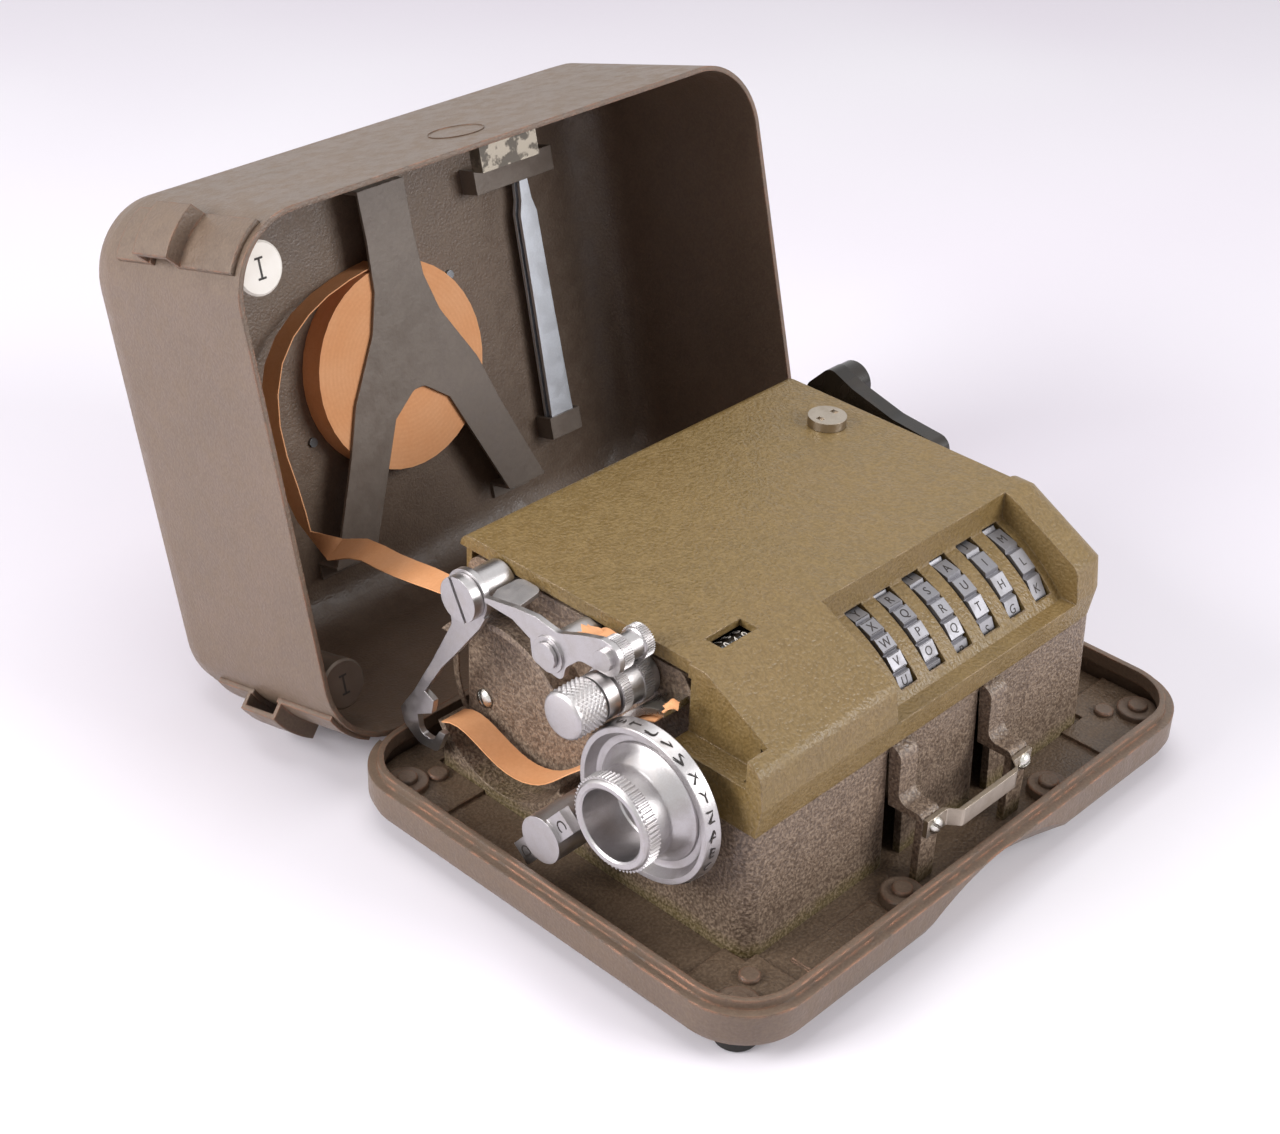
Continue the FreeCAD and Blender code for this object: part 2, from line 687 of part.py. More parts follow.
cover_outer = cover_solid(0.0, seam)
cover_inner = cover_solid(cover_t, seam - 1.0)
cover_inner = cover_inner.cut(recess(1.6, recess_x0 - 1.8, recess_x1 + 1.8))
cover = cover_outer.cut(cover_inner)
cover = cover.cut(recess(0.0, recess_x0, recess_x1))
cover = cover.cut(box(-90, cover_left + cover_t + 0.1, -19.2, body_rear + 5, 0, up(64.8)))
cover = cover.cut(box(-90, 90, -18.8, body_rear + 5, 0, up(side_seam_up + 0.3)))
cover = cover.cut(box(-90, 90, body_rear - cover_t - 0.1, body_rear + 5, 0, up(rear_seam_up + 0.3)))
cover = cover.cut(cyl_x(-70, -55, wheel_y, up(wheel_up), 10.6))
cover = cover.cut(box(-70, -55, -19.9, -18.0, 0, up(64.8)))
slot_half = wheel_w / 2 + 0.6
for n in range(6):
    cx = wheel_first_x + n * wheel_pitch
    cover = cover.cut(cyl_x(cx - slot_half, cx + slot_half, wheel_y, up(wheel_up), wheel_r + 1.0))
cover = cover.cut(box(-49.9, -38.1, -20.0, -14.8, up(60), up(80)))
cover = cover.cut(cyl_z(up(60), up(80), lock_x, lock_y, 2.3))
for x0, x1 in inner_knuckles_high:
    eye = bar_along_x(x0, x1, inner_pin_y, up(inner_pin_up), inner_knuckle_r, knuckle_sides)
    leaf = box(x0, x1, body_rear - 0.5, inner_pin_y, up(inner_pin_up), up(inner_pin_up + 7))
    cover = cover.fuse(leaf).fuse(eye)
for x0, x1 in inner_knuckles_low:
    cover = cover.cut(cyl_x(x0 - 0.2, x1 + 0.2, inner_pin_y, up(inner_pin_up), inner_knuckle_r + 0.3))
for x0, x1 in inner_knuckles_high:
    cover = cover.cut(bar_along_x(x0 - 1, x1 + 1, inner_pin_y, up(inner_pin_up), round_bore(0.75,
        knuckle_sides), knuckle_sides))
cover = cover.removeSplitter()
save("inner_cover", [s for s in cover.Solids if s.Volume > 30])

lock = turned_z([(0, up(lock_low)), (2.2, up(lock_low)), (2.2, up(cover_top + 0.1)), (5.1,
    up(cover_top + 0.1)), (5.1, up(70.9)), (0, up(70.9))], lock_x, lock_y)
lock = lock.cut(box(lock_x - 3.6, lock_x - 2.0, lock_y - 1.0, lock_y + 1.0, up(70.3), up(72)))
lock = lock.cut(box(lock_x + 2.0, lock_x + 3.6, lock_y - 1.0, lock_y + 1.0, up(70.3), up(72)))
lock = lock.fuse(box(lock_x - 2.0, lock_x + 2.0, lock_y - 2.5, lock_y + 9.0, up(lock_low),
    up(lock_low + 1.4)))
save("lock_knob", lock.removeSplitter())

# Setting knob, letter disk and type wheel on the left
knob = turned_x(
    [
        (-86.0, 8.7), (-86.0, 10.8), (-85.2, 11.6), (-82.0, 11.6), (-82.0, 10.9),
        (-78.0, 10.9), (-73.4, 14.5), (-73.4, 3.3), (-80.5, 3.3), (-80.5, 8.7),
    ],
    wheel_y,
    up(wheel_up),
)
save("setting_knob", knob)
disk = turned_x(
    [(-76.0, 17.4), (-76.0, 19.1), (-71.9, 19.9), (-71.9, 3.3), (-73.3, 3.3), (-73.3, 16.0)],
    wheel_y,
    up(wheel_up),
)
save("indicator_disk", disk)
type_pts = []
for i in range(26):
    for frac, r in ((-0.34, 9.0), (0.34, 9.0), (0.50, 8.2)):
        ang = (i + frac) * 2 * math.pi / 26
        type_pts.append(vec(-68.0, wheel_y + r * math.cos(ang), up(wheel_up) + r * math.sin(ang)))
type_wheel = Part.Face(Part.makePolygon(type_pts + [type_pts[0]])).extrude(vec(6.6, 0, 0))
type_wheel = type_wheel.fuse(cyl_x(-71.9, -67.5, wheel_y, up(wheel_up), 6.0)).cut(cyl_x(-75, -50,
    wheel_y, up(wheel_up), stub_r + running))
save("type_wheel", type_wheel)

# Tape feed: feed roller with its knob, pressure arm and pressure roller
feed = turned_x(
    [
        (-84.0, 0), (-84.0, 5.4), (-83.3, 6.1), (-75.2, 6.1), (-75.2, 4.2), (-70.2, 4.2), (-70.2, 6.0),
        (-58.4, 6.0), (-58.4, 2.0), (-54.8, 2.0), (-54.8, 0),
    ],
    feed_y,
    up(feed_up),
)
save("feed_roller", feed)
press_y = -6.0
press_up = 69.0
pivot_y = 11.5
pivot_up = 61.5
arm_x0 = -72.0
arm_x1 = -70.5
press = prism_x(
    [
        (16.8, up(57.2), 2.0),
        (17.6, up(62.6), 0),
        (23.4, up(65.0), 0),
        (32.6, up(65.2), 0),
        (32.6, up(66.4), 0),
        (22.5, up(68.4), 0),
        (16.0, up(69.2), 0),
        (9.0, up(68.2), 6.0),
        (2.0, up(71.2), 6.0),
        (-4.0, up(73.2), 4.0),
        (-10.2, up(73.0), 4.0),
        (-10.2, up(64.8), 4.0),
        (2.0, up(64.6), 4.0),
        (6.2, up(60.5), 3.0),
        (7.2, up(56.2), 2.0),
    ],
    arm_x0,
    arm_x1,
)
tab = prism_z([(arm_x0, 24.0, 1.0), (-60.0, 26.0, 2.5), (-60.0, 33.2, 2.0), (-67.5, 33.2, 2.0), (arm_x0,
    31.0, 1.0)], up(65.2), up(66.4))
press = press.fuse(tab)
press = press.fuse(bar_along_x(arm_x0 - 0.6, arm_x1 + 1.4, pivot_y, up(pivot_up), 4.6, 16))
press = press.cut(bore_x(-80, -60, pivot_y, up(pivot_up), 2.35, 12))
press = press.fuse(bar_along_x(-73.4, arm_x0 + 0.5, press_y, up(press_up), 2.6, 10))
press = press.fuse(bar_along_x(arm_x1 - 0.5, -60.4, press_y, up(press_up), 1.4, 10))
save("pressure_arm", press.removeSplitter())
roller = turned_x(
    [(-70.3, 1.46), (-70.3, 4.1), (-67.2, 4.1), (-67.2, 3.5), (-63.2, 3.5), (-63.2, 4.1), (-60.6, 4.1),
        (-60.6, 1.46)],
    press_y,
    up(press_up),
)
save("pressure_roller", roller)

# Posts on the left frame: tape post with its slotted head, and the stud of the pressure arm
post_y = 40.6
post_up = 62.3
post = cyl_x(-70.1, lp0, post_y, up(post_up), 5.0)
post = post.fuse(cyl_x(-73.0, -70.1, post_y, up(post_up), 5.8))
slot = box(-74, -72.0, post_y - 8, post_y + 8, up(post_up) - 0.5, up(post_up) + 0.5)
slot.rotate(vec(-73, post_y, up(post_up)), vec(1, 0, 0), 62)
post = post.cut(slot)
wing = box(lp0 - 2.0, lp0, post_y - 6.5, post_y + 6.5, up(post_up - 6.4), up(post_up + 1.0))
post = post.fuse(wing)
stud = bar_along_x(-72.8, lp0, pivot_y, up(pivot_up), 2.3, 12)
stud = stud.fuse(bar_along_x(-73.6, -72.7, pivot_y, up(pivot_up), 3.4, 12)).fuse(bar_along_x(-69.0, lp0,
    pivot_y, up(pivot_up), 3.8, 12))
headroom = box(-59.2, -50, -20, 60, up(64.4), up(80))
post = post.cut(headroom)
stud = stud.cut(headroom)
save("frame_posts", [post.removeSplitter(), stud.removeSplitter()])

hook_x0 = -70.0
hook_x1 = -68.4
hook = prism_x(
    [
        (46.9, up(57.5), 0),
        (45.9, up(52.0), 3.0),
        (53.0, up(38.0), 6.0),
        (60.0, up(25.5), 2.0),
        (65.2, up(17.7), 0),
        (63.8, up(13.4), 3.0),
        (58.6, up(10.2), 4.0),
        (51.6, up(10.9), 3.0),
        (48.9, up(17.8), 0),
        (51.0, up(17.6), 0),
        (53.4, up(13.6), 2.2),
        (58.2, up(13.7), 2.2),
        (59.0, up(18.7), 0),
        (53.7, up(21.7), 0),
        (52.9, up(25.7), 0),
        (56.2, up(27.0), 0),
        (50.0, up(37.0), 6.0),
        (43.5, up(45.5), 6.0),
        (36.5, up(55.0), 4.0),
        (34.6, up(58.6), 0),
    ],
    hook_x0,
    hook_x1,
)
hook = hook.fuse(cyl_x(hook_x0, hook_x1, post_y, up(post_up), 6.6))
hook = hook.cut(cyl_x(-75, -60, post_y, up(post_up), 5.06))
save("tape_hook", hook.removeSplitter())

# Mode knob with two opposed tabs
mode = turned_x([(-83.5, 0), (-83.5, 6.0), (-62.2, 6.0), (-62.2, 2.5), (-55.7, 2.5), (-55.7, 0)], cd_y,
    up(cd_up))
tabs = box(-82.6, -79.8, cd_y - 11.5, cd_y + 11.5, up(cd_up) - 3.0, up(cd_up) + 3.0)
tabs.rotate(vec(-80, cd_y, up(cd_up)), vec(1, 0, 0), 129)
mode = mode.fuse(tabs)
save("mode_knob", mode.removeSplitter())

# Curved tape guide beside the type wheel
guide = tube_x(-66.3, lp0, wheel_y, up(wheel_up), 19.3, 17.5)
wedge = prism_x(
    [
        (wheel_y, up(wheel_up)),
        (wheel_y + 40 * math.cos(math.radians(22)), up(wheel_up) + 40 * math.sin(math.radians(22))),
        (wheel_y + 40 * math.cos(math.radians(50)), up(wheel_up) + 40 * math.sin(math.radians(50))),
        (wheel_y + 40 * math.cos(math.radians(79)), up(wheel_up) + 40 * math.sin(math.radians(79))),
    ],
    -90,
    -40,
)
save("tape_guide", guide.common(wedge))

# Legs of the front catch, the bar they carry and the slotted screws
legs = []
leg_t = 2.0
shelf = up(24.0)
leg_front = -56.4
for leg_x in leg_xs:
    leg = prism_x(
        [
            (leg_front, stand, 0),
            (leg_front, shelf, 2.0),
            (-48.9, shelf, 3.0),
            (-48.4, up(37.0), 3.0),
            (front_high - 0.35, seam - 0.6, 0),
            (front_high - 0.25, seam - 2.2, 0),
            (front_high - 0.45, up(34.0), 0),
            (front_low + 0.2, shelf - leg_t, 0),
            (leg_front + leg_t, shelf - leg_t, 0),
            (leg_front + leg_t, stand, 0),
        ],
        leg_x,
        leg_x + leg_w,
    )
    legs.append(leg)
save("catch_legs", legs)
bar_low = up(18.4)
bar_high = up(23.2)
bar_t = 1.3
b0 = leg_front - bar_t
joggle = 3.0
lx0 = leg_xs[0] + 0.2
lx1 = leg_xs[1] + leg_w - 0.2
catch_bar = prism_z(
    [
        (lx0, leg_front, 0),
        (lx0, b0, 0),
        (lx0 + 7.4, b0, 0.6),
        (lx0 + 9.8, b0 - joggle, 1.5),
        (lx1 - 9.8, b0 - joggle, 1.5),
        (lx1 - 7.4, b0, 0.6),
        (lx1, b0, 0),
        (lx1, leg_front, 0),
        (lx1 - 6.8, leg_front, 1.5),
        (lx1 - 9.2, leg_front - joggle, 0.6),
        (lx0 + 9.2, leg_front - joggle, 0.6),
        (lx0 + 6.8, leg_front, 1.5),
    ],
    bar_low,
    bar_high,
)
save("catch_bar", catch_bar)

screws = []
head_r = 2.6
head_sides = 8
for fx, fy in foot_spots:
    screws.append(bar_upright(up(6.0), up(7.5), fx, fy, head_r, head_sides))
pad_top = floor_high + pad_t
for sx, sy in ((-70.6, 51.0), (-69.6, -50.4), (72.6, -49.0), (70.6, 51.0)):
    screws.append(bar_upright(pad_top, pad_top + 1.5, sx, sy, head_r, head_sides))
for leg_x in leg_xs:
    head = bar_upright(0, 1.7, 0, 0, 2.2, head_sides)
    head.rotate(vec(0, 0, 0), vec(1, 0, 0), 90)
    head.translate(vec(leg_x + leg_w / 2, b0, (bar_low + bar_high) / 2))
    screws.append(head)
screws.append(bar_along_x(lp0 - 1.4, lp0, 47.4, up(23.6), head_r, head_sides))
save("machine_screws", screws)

# Paper tape: the stretch that runs to the type wheel, and the end held between the rollers
tape_x = -64.0


def ribbon_yz(path, x0, x1, t):
    """A thin strip whose edge view is a path in y and height."""
    curve = Part.BSplineCurve()
    curve.interpolate([vec(x0, p[0], p[1]) for p in path])
    count = 3 * (len(path) - 1)
    one = []
    two = []
    first = curve.FirstParameter
    last = curve.LastParameter
    for i in range(count + 1):
        u = first + (last - first) * i / count
        p = curve.value(u)
        d = curve.tangent(u)[0]
        side = vec(0, -d.z, d.y)
        one.append(p.add(vec(side.x, side.y * t / 2, side.z * t / 2)))
        two.append(p.sub(vec(side.x, side.y * t / 2, side.z * t / 2)))
    ring = one + two[::-1]
    return Part.Face(Part.makePolygon(ring + [ring[0]])).extrude(vec(x1 - x0, 0, 0))


arc = []
for deg in (14, 34, 54, 74):
    a = math.radians(deg)
    arc.append((wheel_y + 16.9 * math.cos(a), up(wheel_up) + 16.9 * math.sin(a)))
low_run = [(52.6, up(18.6)), (46.0, up(20.2)), (37.0, up(17.4)), (28.0, up(15.6)), (18.5, up(18.4)),
    (9.4, up(26.4)), (0.5, up(34.8))]
run_a = ribbon_yz(low_run + arc, tape_x - tape_w / 2, tape_x + tape_w / 2, tape_t)
run_b = ribbon_yz([(-5.0, up(64.8)), (-2.6, up(65.0)), (1.0, up(66.0)), (4.5, up(66.4)), (7.6,
    up(63.4))], tape_x - tape_w / 2 + 0.2, tape_x + tape_w / 2 - 0.2, 0.24)
save("tape_run", [run_a, run_b])

# Outer lid, built closed and then turned open about its hinge
lid_top = lid_z(lid_depth)
lid_x = half_x - 0.2
lid_out = crowned_block(lid_x, half_y, lid_corner, lid_z(0), lid_top, lid_edge_round, 4)
s = lid_sheet
lid_in = crowned_block(lid_x - s, half_y - s, lid_corner - s, lid_z(-1), lid_top - s, lid_edge_round - s, 4)
lid = lid_out.cut(lid_in)
for x0, x1 in hinge_span:
    lid = lid.cut(bar_along_x(x0 - 0.3, x1 + 0.3, hinge_y, up(hinge_up), knuckle_room_r, knuckle_sides))
for kx in lid_knuckles:
    knuckle = bar_along_x(kx + 0.2, kx + knuckle_len - 0.2, hinge_y, up(hinge_up), knuckle_r, knuckle_sides)
    strap = box(kx + 0.2, kx + knuckle_len - 0.2, half_y - 1.3, half_y + 0.4, up(hinge_up), lid_z(6.0))
    lid = lid.fuse(knuckle).fuse(strap)
for x0, x1 in hinge_span:
    lid = lid.cut(bar_along_x(x0 - 1, x1 + 1, hinge_y, up(hinge_up), round_bore(pin_r + 0.05,
        knuckle_sides), knuckle_sides))
lid = lid.removeSplitter()
save("outer_lid", opened(lid))

# Strap loops on the left end: bent strips that follow the rounded corners of the lid
loop_t = 1.2
loop_w = 14.0
loop_lift = 4.2
loop_bands = ((2.0, 24.0, 0.0), (22.0, 36.0, loop_lift), (34.0, 49.0, 0.0))
loop_r = lid_corner + 0.02
loop_x = lid_corner - lid_x


def corner_strip(d0, d1, cy, side, r_in, r_out):
    """A strip of the given depth band round one left corner of the lid."""
    ring = cyl_z(lid_z(d0), lid_z(d1), loop_x, cy, r_out)
    ring = ring.cut(cyl_z(lid_z(d0) - 1, lid_z(d1) + 1, loop_x, cy, r_in))
    blade = box(0, 60, -loop_w / 2, loop_w / 2, lid_z(d0) - 1, lid_z(d1) + 1)
    blade.rotate(vec(0, 0, 0), vec(0, 0, 1), math.degrees(math.atan2(side, -1)))
    blade.translate(vec(loop_x, cy, 0))
    return ring.common(blade)


loop_parts = []
for side in (-1, 1):
    cy = side * (half_y - lid_corner)
    group = []
    for d0, d1, lift in loop_bands:
        group.append(corner_strip(d0, d1, cy, side, loop_r + lift, loop_r + lift + loop_t))
    for d0 in (22.0, 34.8):
        group.append(corner_strip(d0, d0 + 1.2, cy, side, loop_r, loop_r + loop_lift + loop_t))
    loop_parts.append(opened(fuse(group)))
save("strap_loops", loop_parts)

# Catch bracket inside the rim and the disc of its rivet on the outside
wall_y = lid_y(134.5 - lid_sheet)
catch_d = tray_lip - tray_ledge + 0.3
catch = box(-9.6, 9.6, wall_y, wall_y + 1.2, lid_z(catch_d), lid_z(14.0))
catch = catch.fuse(box(-9.6, 9.6, wall_y, wall_y + 7.0, lid_z(catch_d), lid_z(catch_d + 1.2)))
catch = catch.fuse(box(-9.6, -8.4, wall_y, wall_y + 7.0, lid_z(catch_d), lid_z(catch_d + 4.0)))
catch = catch.fuse(box(8.4, 9.6, wall_y, wall_y + 7.0, lid_z(catch_d), lid_z(catch_d + 4.0)))
catch = catch.removeSplitter()
save("lid_catch", opened(catch))
disc_x = -3.5
mark = cyl_y(lid_y(134.5) - 0.35, lid_y(134.5), disc_x, lid_z(17.5), 7.2)
mark = mark.cut(box(disc_x - 4.8, disc_x - 2.8, -90, 0, lid_z(16.6), lid_z(18.4)))
mark = mark.cut(box(disc_x + 2.8, disc_x + 4.8, -90, 0, lid_z(16.6), lid_z(18.4)))
save("catch_disc", opened(mark))

# Reel retainer: sheet yoke with bent feet riveted to the lid
keep_d = 58.7
keep_t = 0.9
roof = lid_z(lid_depth - lid_sheet)
mid_x = 1.3
right_side = [(8.2, 117.5, 0), (8.0, 104.0, 0), (8.8, 90.0, 0), (12.2, 79.0, 12.0), (22.4, 62.0, 12.0),
    (27.5, 48.0, 10.0), (39.5, 20.0, 0)]
inside = [(25.5, 20.0, 0), (10.0, 54.0, 0)]
plan = []
for px, ph, pr in right_side:
    plan.append((mid_x + px, lid_y(ph), pr))
for px, ph, pr in inside:
    plan.append((mid_x + px, lid_y(ph), pr))
plan.append((mid_x + 2.0, lid_y(60.0), 3.0))
plan.append((mid_x - 2.0, lid_y(60.0), 3.0))
for px, ph, pr in inside[::-1]:
    plan.append((mid_x - px, lid_y(ph), pr))
for px, ph, pr in right_side[::-1]:
    plan.append((mid_x - px, lid_y(ph), pr))
yoke = prism_z(plan, lid_z(keep_d), lid_z(keep_d) + keep_t)
yoke = yoke.fuse(box(mid_x - 8.2, mid_x + 8.2, lid_y(117.5), lid_y(117.5 - keep_t), lid_z(keep_d), roof))
yoke = yoke.fuse(box(mid_x - 8.2, mid_x + 8.2, lid_y(119.5), lid_y(116.6), roof - keep_t, roof))
for side in (-1, 1):
    fx = mid_x + side * 32.5
    yoke = yoke.fuse(box(fx - 7.0, fx + 7.0, lid_y(20.0 + keep_t), lid_y(20.0), lid_z(keep_d), roof))
    yoke = yoke.fuse(box(fx - 7.0, fx + 7.0, lid_y(20.9), lid_y(16.0), roof - keep_t, roof))
reel_x = -2.0
reel_h = 67.3
yoke = yoke.fuse(bar_upright(lid_z(keep_d + 0.3), roof, reel_x, lid_y(reel_h), 6.0, 16))
save("reel_retainer", opened(yoke.removeSplitter()))

rivets = []
for rx, rh in ((25.6, 84.7), (-31.6, 54.2)):
    rivets.append(bar_upright(roof - 0.8, roof, rx, lid_y(rh), 1.4, 8))
for rx, rh in ((mid_x - 32.5, 18.2), (mid_x + 32.5, 18.2)):
    rivets.append(bar_upright(roof - keep_t - 0.8, roof - keep_t, rx, lid_y(rh), 1.6, 8))
save("lid_rivets", [opened(r) for r in rivets])

# Tape roll: plain core with the outer layer wound over it
roll_r = 28.6
roll_z0 = lid_z(keep_d) + keep_t + 0.15
roll_z1 = roof - 0.15
wind_steps = 40
wound = []
for i in range(wind_steps + 1):
    a = math.radians(90.0 - 356.0 * i / wind_steps)
    r = roll_r + 0.55 - 0.45 * i / wind_steps
    wound.append(vec(reel_x + r * math.cos(a), lid_y(reel_h) - r * math.sin(a), roll_z0))
roll = Part.Face(Part.makePolygon(wound + [wound[0]])).extrude(vec(0, 0, roll_z1 - roll_z0))
roll = roll.cut(bar_upright(roll_z0 - 1, roll_z1 + 1, reel_x, lid_y(reel_h), round_bore(6.3, 16), 16))
save("tape_roll", opened(roll))

# Tweezers and the clips that hold them
tw_x = 54.5


def tweezer_leaf(z0, z1):
    return prism_z(
        [
            (tw_x - 4.4, lid_y(28.8), 0),
            (tw_x + 4.4, lid_y(28.8), 0),
            (tw_x + 3.5, lid_y(70.0), 20.0),
            (tw_x + 3.2, lid_y(95.0), 0),
            (tw_x + 2.0, lid_y(99.0), 0),
            (tw_x + 0.5, lid_y(118.8), 0),
            (tw_x - 0.5, lid_y(118.8), 0),
            (tw_x - 2.0, lid_y(99.0), 0),
            (tw_x - 3.2, lid_y(95.0), 0),
            (tw_x - 3.5, lid_y(70.0), 20.0),
        ],
        z0,
        z1,
    )


tz0 = lid_z(62.0)
tz1 = tz0 + 3.4
tweezers = tweezer_leaf(tz0, tz0 + 1.1).fuse(tweezer_leaf(tz1 - 1.1, tz1))
heel = box(tw_x - 4.2, tw_x + 4.2, lid_y(33.0), lid_y(29.0), tz0 + 0.5, tz1 - 0.5)
save("tweezers", opened(tweezers.fuse(heel).removeSplitter()))
clips = []
upper = box(36.0, 66.0, lid_y(112.0), lid_y(105.0), tz0 - 0.95, tz0 - 0.15)
upper = upper.fuse(box(36.0, 37.0, lid_y(112.0), lid_y(105.0), tz0 - 0.95, roof))
upper = upper.fuse(box(65.0, 66.0, lid_y(112.0), lid_y(105.0), tz0 - 0.95, roof))
clips.append(upper)
pocket = box(tw_x - 6.0, tw_x + 6.0, lid_y(34.0), lid_y(27.4), tz0 - 0.95, tz0 - 0.15)
pocket = pocket.fuse(box(tw_x - 6.0, tw_x + 6.0, lid_y(28.4), lid_y(27.4), tz0 - 0.95, roof))
pocket = pocket.fuse(box(tw_x - 6.0, tw_x - 5.0, lid_y(34.0), lid_y(27.4), tz0 - 0.95, roof))
pocket = pocket.fuse(box(tw_x + 5.0, tw_x + 6.0, lid_y(34.0), lid_y(27.4), tz0 - 0.95, roof))
clips.append(pocket)
save("tweezer_clips", [opened(c.removeSplitter()) for c in clips])

# Two small cans in the left corners of the lid and their spring clips
can_r = 6.5
can_d0 = 4.0
can_d1 = 58.0
cans = (("light_can", -78.4, 122.0), ("dark_can", -80.3, 16.9))
clip_solids = []
c_in = s + 0.08
clip_room = rounded_block(-lid_x + c_in, lid_x - c_in, -half_y + c_in, half_y - c_in, lid_corner - c_in,
    lid_z(-1), lid_top)
for name, cx, ch in cans:
    can = bar_upright(lid_z(can_d0), lid_z(can_d1), cx, lid_y(ch), can_r, 20)
    save(name, opened(can))
    for d0 in (14.5, 42.0):
        band = bar_upright(lid_z(d0), lid_z(d0 + 7.0), cx, lid_y(ch), can_r + 0.75, 20)
        band = band.cut(bar_upright(lid_z(d0) - 1, lid_z(d0 + 8.0), cx, lid_y(ch), can_r + 0.02, 20))
        band = band.cut(box(cx + 2.0, cx + 20, lid_y(ch) - 20, lid_y(ch) + 20, lid_z(d0) - 1,
            lid_z(d0 + 8.0)))
        band = band.common(clip_room)
        clip_solids.append(band)
save("can_clips", [opened(c) for c in clip_solids])

# Free tape from the roll to the post, half a twist in air
def opened_point(x, height, depth):
    p = Part.Vertex(vec(x, lid_y(height), lid_z(depth)))
    p.rotate(vec(0, hinge_y, up(hinge_up)), vec(1, 0, 0), -lid_open)
    return p.Vertexes[0].Point


lw = opened_point(0, 0, 1).sub(opened_point(0, 0, 0))
mid_depth = (keep_d + keep_t + lid_depth - lid_sheet) / 2
tx = vec(1, 0, 0)
path = [
    (opened_point(-3.0, reel_h + roll_r + 0.95, mid_depth), lw),
    (opened_point(-14.0, 95.4, mid_depth), lw),
    (opened_point(-30.0, 90.6, mid_depth - 1.0), lw),
    (opened_point(-43.0, 81.0, mid_depth - 3.0), lw),
    (opened_point(-49.6, 66.0, mid_depth - 6.0), lw),
    (opened_point(-51.4, 50.0, mid_depth - 11.0), lw),
    (opened_point(-53.0, 38.0, mid_depth - 19.0), lw.add(vec(0.35, 0, 0))),
    (vec(-56.5, 96.0, up(44.0)), lw.add(vec(0.9, 0, 0.1))),
    (vec(-60.0, 80.0, up(49.0)), lw.add(vec(1.8, 0, 0.3))),
    (vec(-62.6, 64.0, up(53.5)), vec(1, 0.25, 0.1)),
    (vec(-64.0, 51.0, up(56.4)), tx),
    (vec(-64.0, 46.6, up(57.0)), tx),
]
curve = Part.BSplineCurve()
curve.interpolate([p for p, w in path])
sections = []
per_span = 2
fine = per_span * (len(path) - 1)
params = [curve.parameter(p) for p, w in path]
for i in range(fine + 1):
    k = min(i // per_span, len(path) - 2)
    f = (i - per_span * k) / per_span
    u = params[k] * (1 - f) + params[k + 1] * f
    p = curve.value(u)
    d = curve.tangent(u)[0]
    wa = vec(path[k][1].x, path[k][1].y, path[k][1].z)
    wb = vec(path[k + 1][1].x, path[k + 1][1].y, path[k + 1][1].z)
    wa.normalize()
    wb.normalize()
    w = wa.multiply(1 - f).add(wb.multiply(f))
    w = w.sub(vec(d.x, d.y, d.z).multiply(w.dot(d)))
    w.normalize()
    nrm = w.cross(d)
    nrm.normalize()
    a = vec(w.x, w.y, w.z).multiply((tape_w - 0.4) / 2)
    b = vec(nrm.x, nrm.y, nrm.z).multiply(tape_t / 2)
    corners = [p.add(a).add(b), p.sub(a).add(b), p.sub(a).sub(b), p.add(a).sub(b)]
    sections.append(Part.makePolygon(corners + [corners[0]]))
save("tape_free", Part.makeLoft(sections, True, True))
print("lean", round(lean, 3), "open", round(lid_open, 3))
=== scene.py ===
import json
import math

import bmesh
import bpy
from mathutils import Matrix, Vector


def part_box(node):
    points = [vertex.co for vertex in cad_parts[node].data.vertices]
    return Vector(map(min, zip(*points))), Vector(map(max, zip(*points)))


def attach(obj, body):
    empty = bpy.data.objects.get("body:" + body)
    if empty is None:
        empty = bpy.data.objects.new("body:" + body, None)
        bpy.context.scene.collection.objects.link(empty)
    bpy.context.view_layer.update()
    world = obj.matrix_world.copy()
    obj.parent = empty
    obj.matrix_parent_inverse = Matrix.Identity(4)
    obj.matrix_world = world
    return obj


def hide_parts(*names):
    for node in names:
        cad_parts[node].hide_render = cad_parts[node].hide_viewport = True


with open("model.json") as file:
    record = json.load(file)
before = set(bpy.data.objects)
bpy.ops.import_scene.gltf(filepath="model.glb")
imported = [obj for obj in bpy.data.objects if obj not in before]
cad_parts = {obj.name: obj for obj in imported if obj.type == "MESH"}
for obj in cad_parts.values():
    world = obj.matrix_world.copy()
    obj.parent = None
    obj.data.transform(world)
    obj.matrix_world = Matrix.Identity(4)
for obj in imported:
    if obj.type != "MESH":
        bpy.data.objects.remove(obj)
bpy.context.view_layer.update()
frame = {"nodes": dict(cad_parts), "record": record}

bl_info = {
    "name": "Rotor cipher machine looks",
    "version": (1, 0, 0),
    "blender": (4, 5, 0),
    "location": "3D View > Sidebar > Cipher machine",
    "description": "Finishes and small pieces of a pocket rotor cipher machine in its open case",
    "category": "Object",
}

MM = 0.001
X_AXIS = Vector((1, 0, 0))

# Places of the working pieces, in millimetres from the centre of the tray at table level
FOOT = 4.4
TRAY_RIM = 14.5
HALF_Y = 67.25
WHEEL_Y = -21.8
WHEEL_Z = 39.7 + FOOT
WHEEL_R = 20.5
WHEEL_FIRST_X = -7.4
WHEEL_PITCH = 10.7
HINGE_Y = 66.4
HINGE_Z = 10.3 + FOOT
LID_OPEN = math.radians(104.388)
FEED_Y = -4.5
FEED_Z = 58.6 + FOOT
PRESS_Y = -6.0
PRESS_Z = 69.0 + FOOT
COUNT_Y = -17.4
COUNT_Z = 60.9 + FOOT
COUNT_R = 5.0
COUNT_FIRST_X = -49.9
COUNT_PITCH = 3.0
MODE_Y = 1.8
MODE_Z = 20.5 + FOOT
TAB_FACE_X = -82.6
TAB_LETTER_R = 8.9
TAB_TURN = math.radians(129.0)
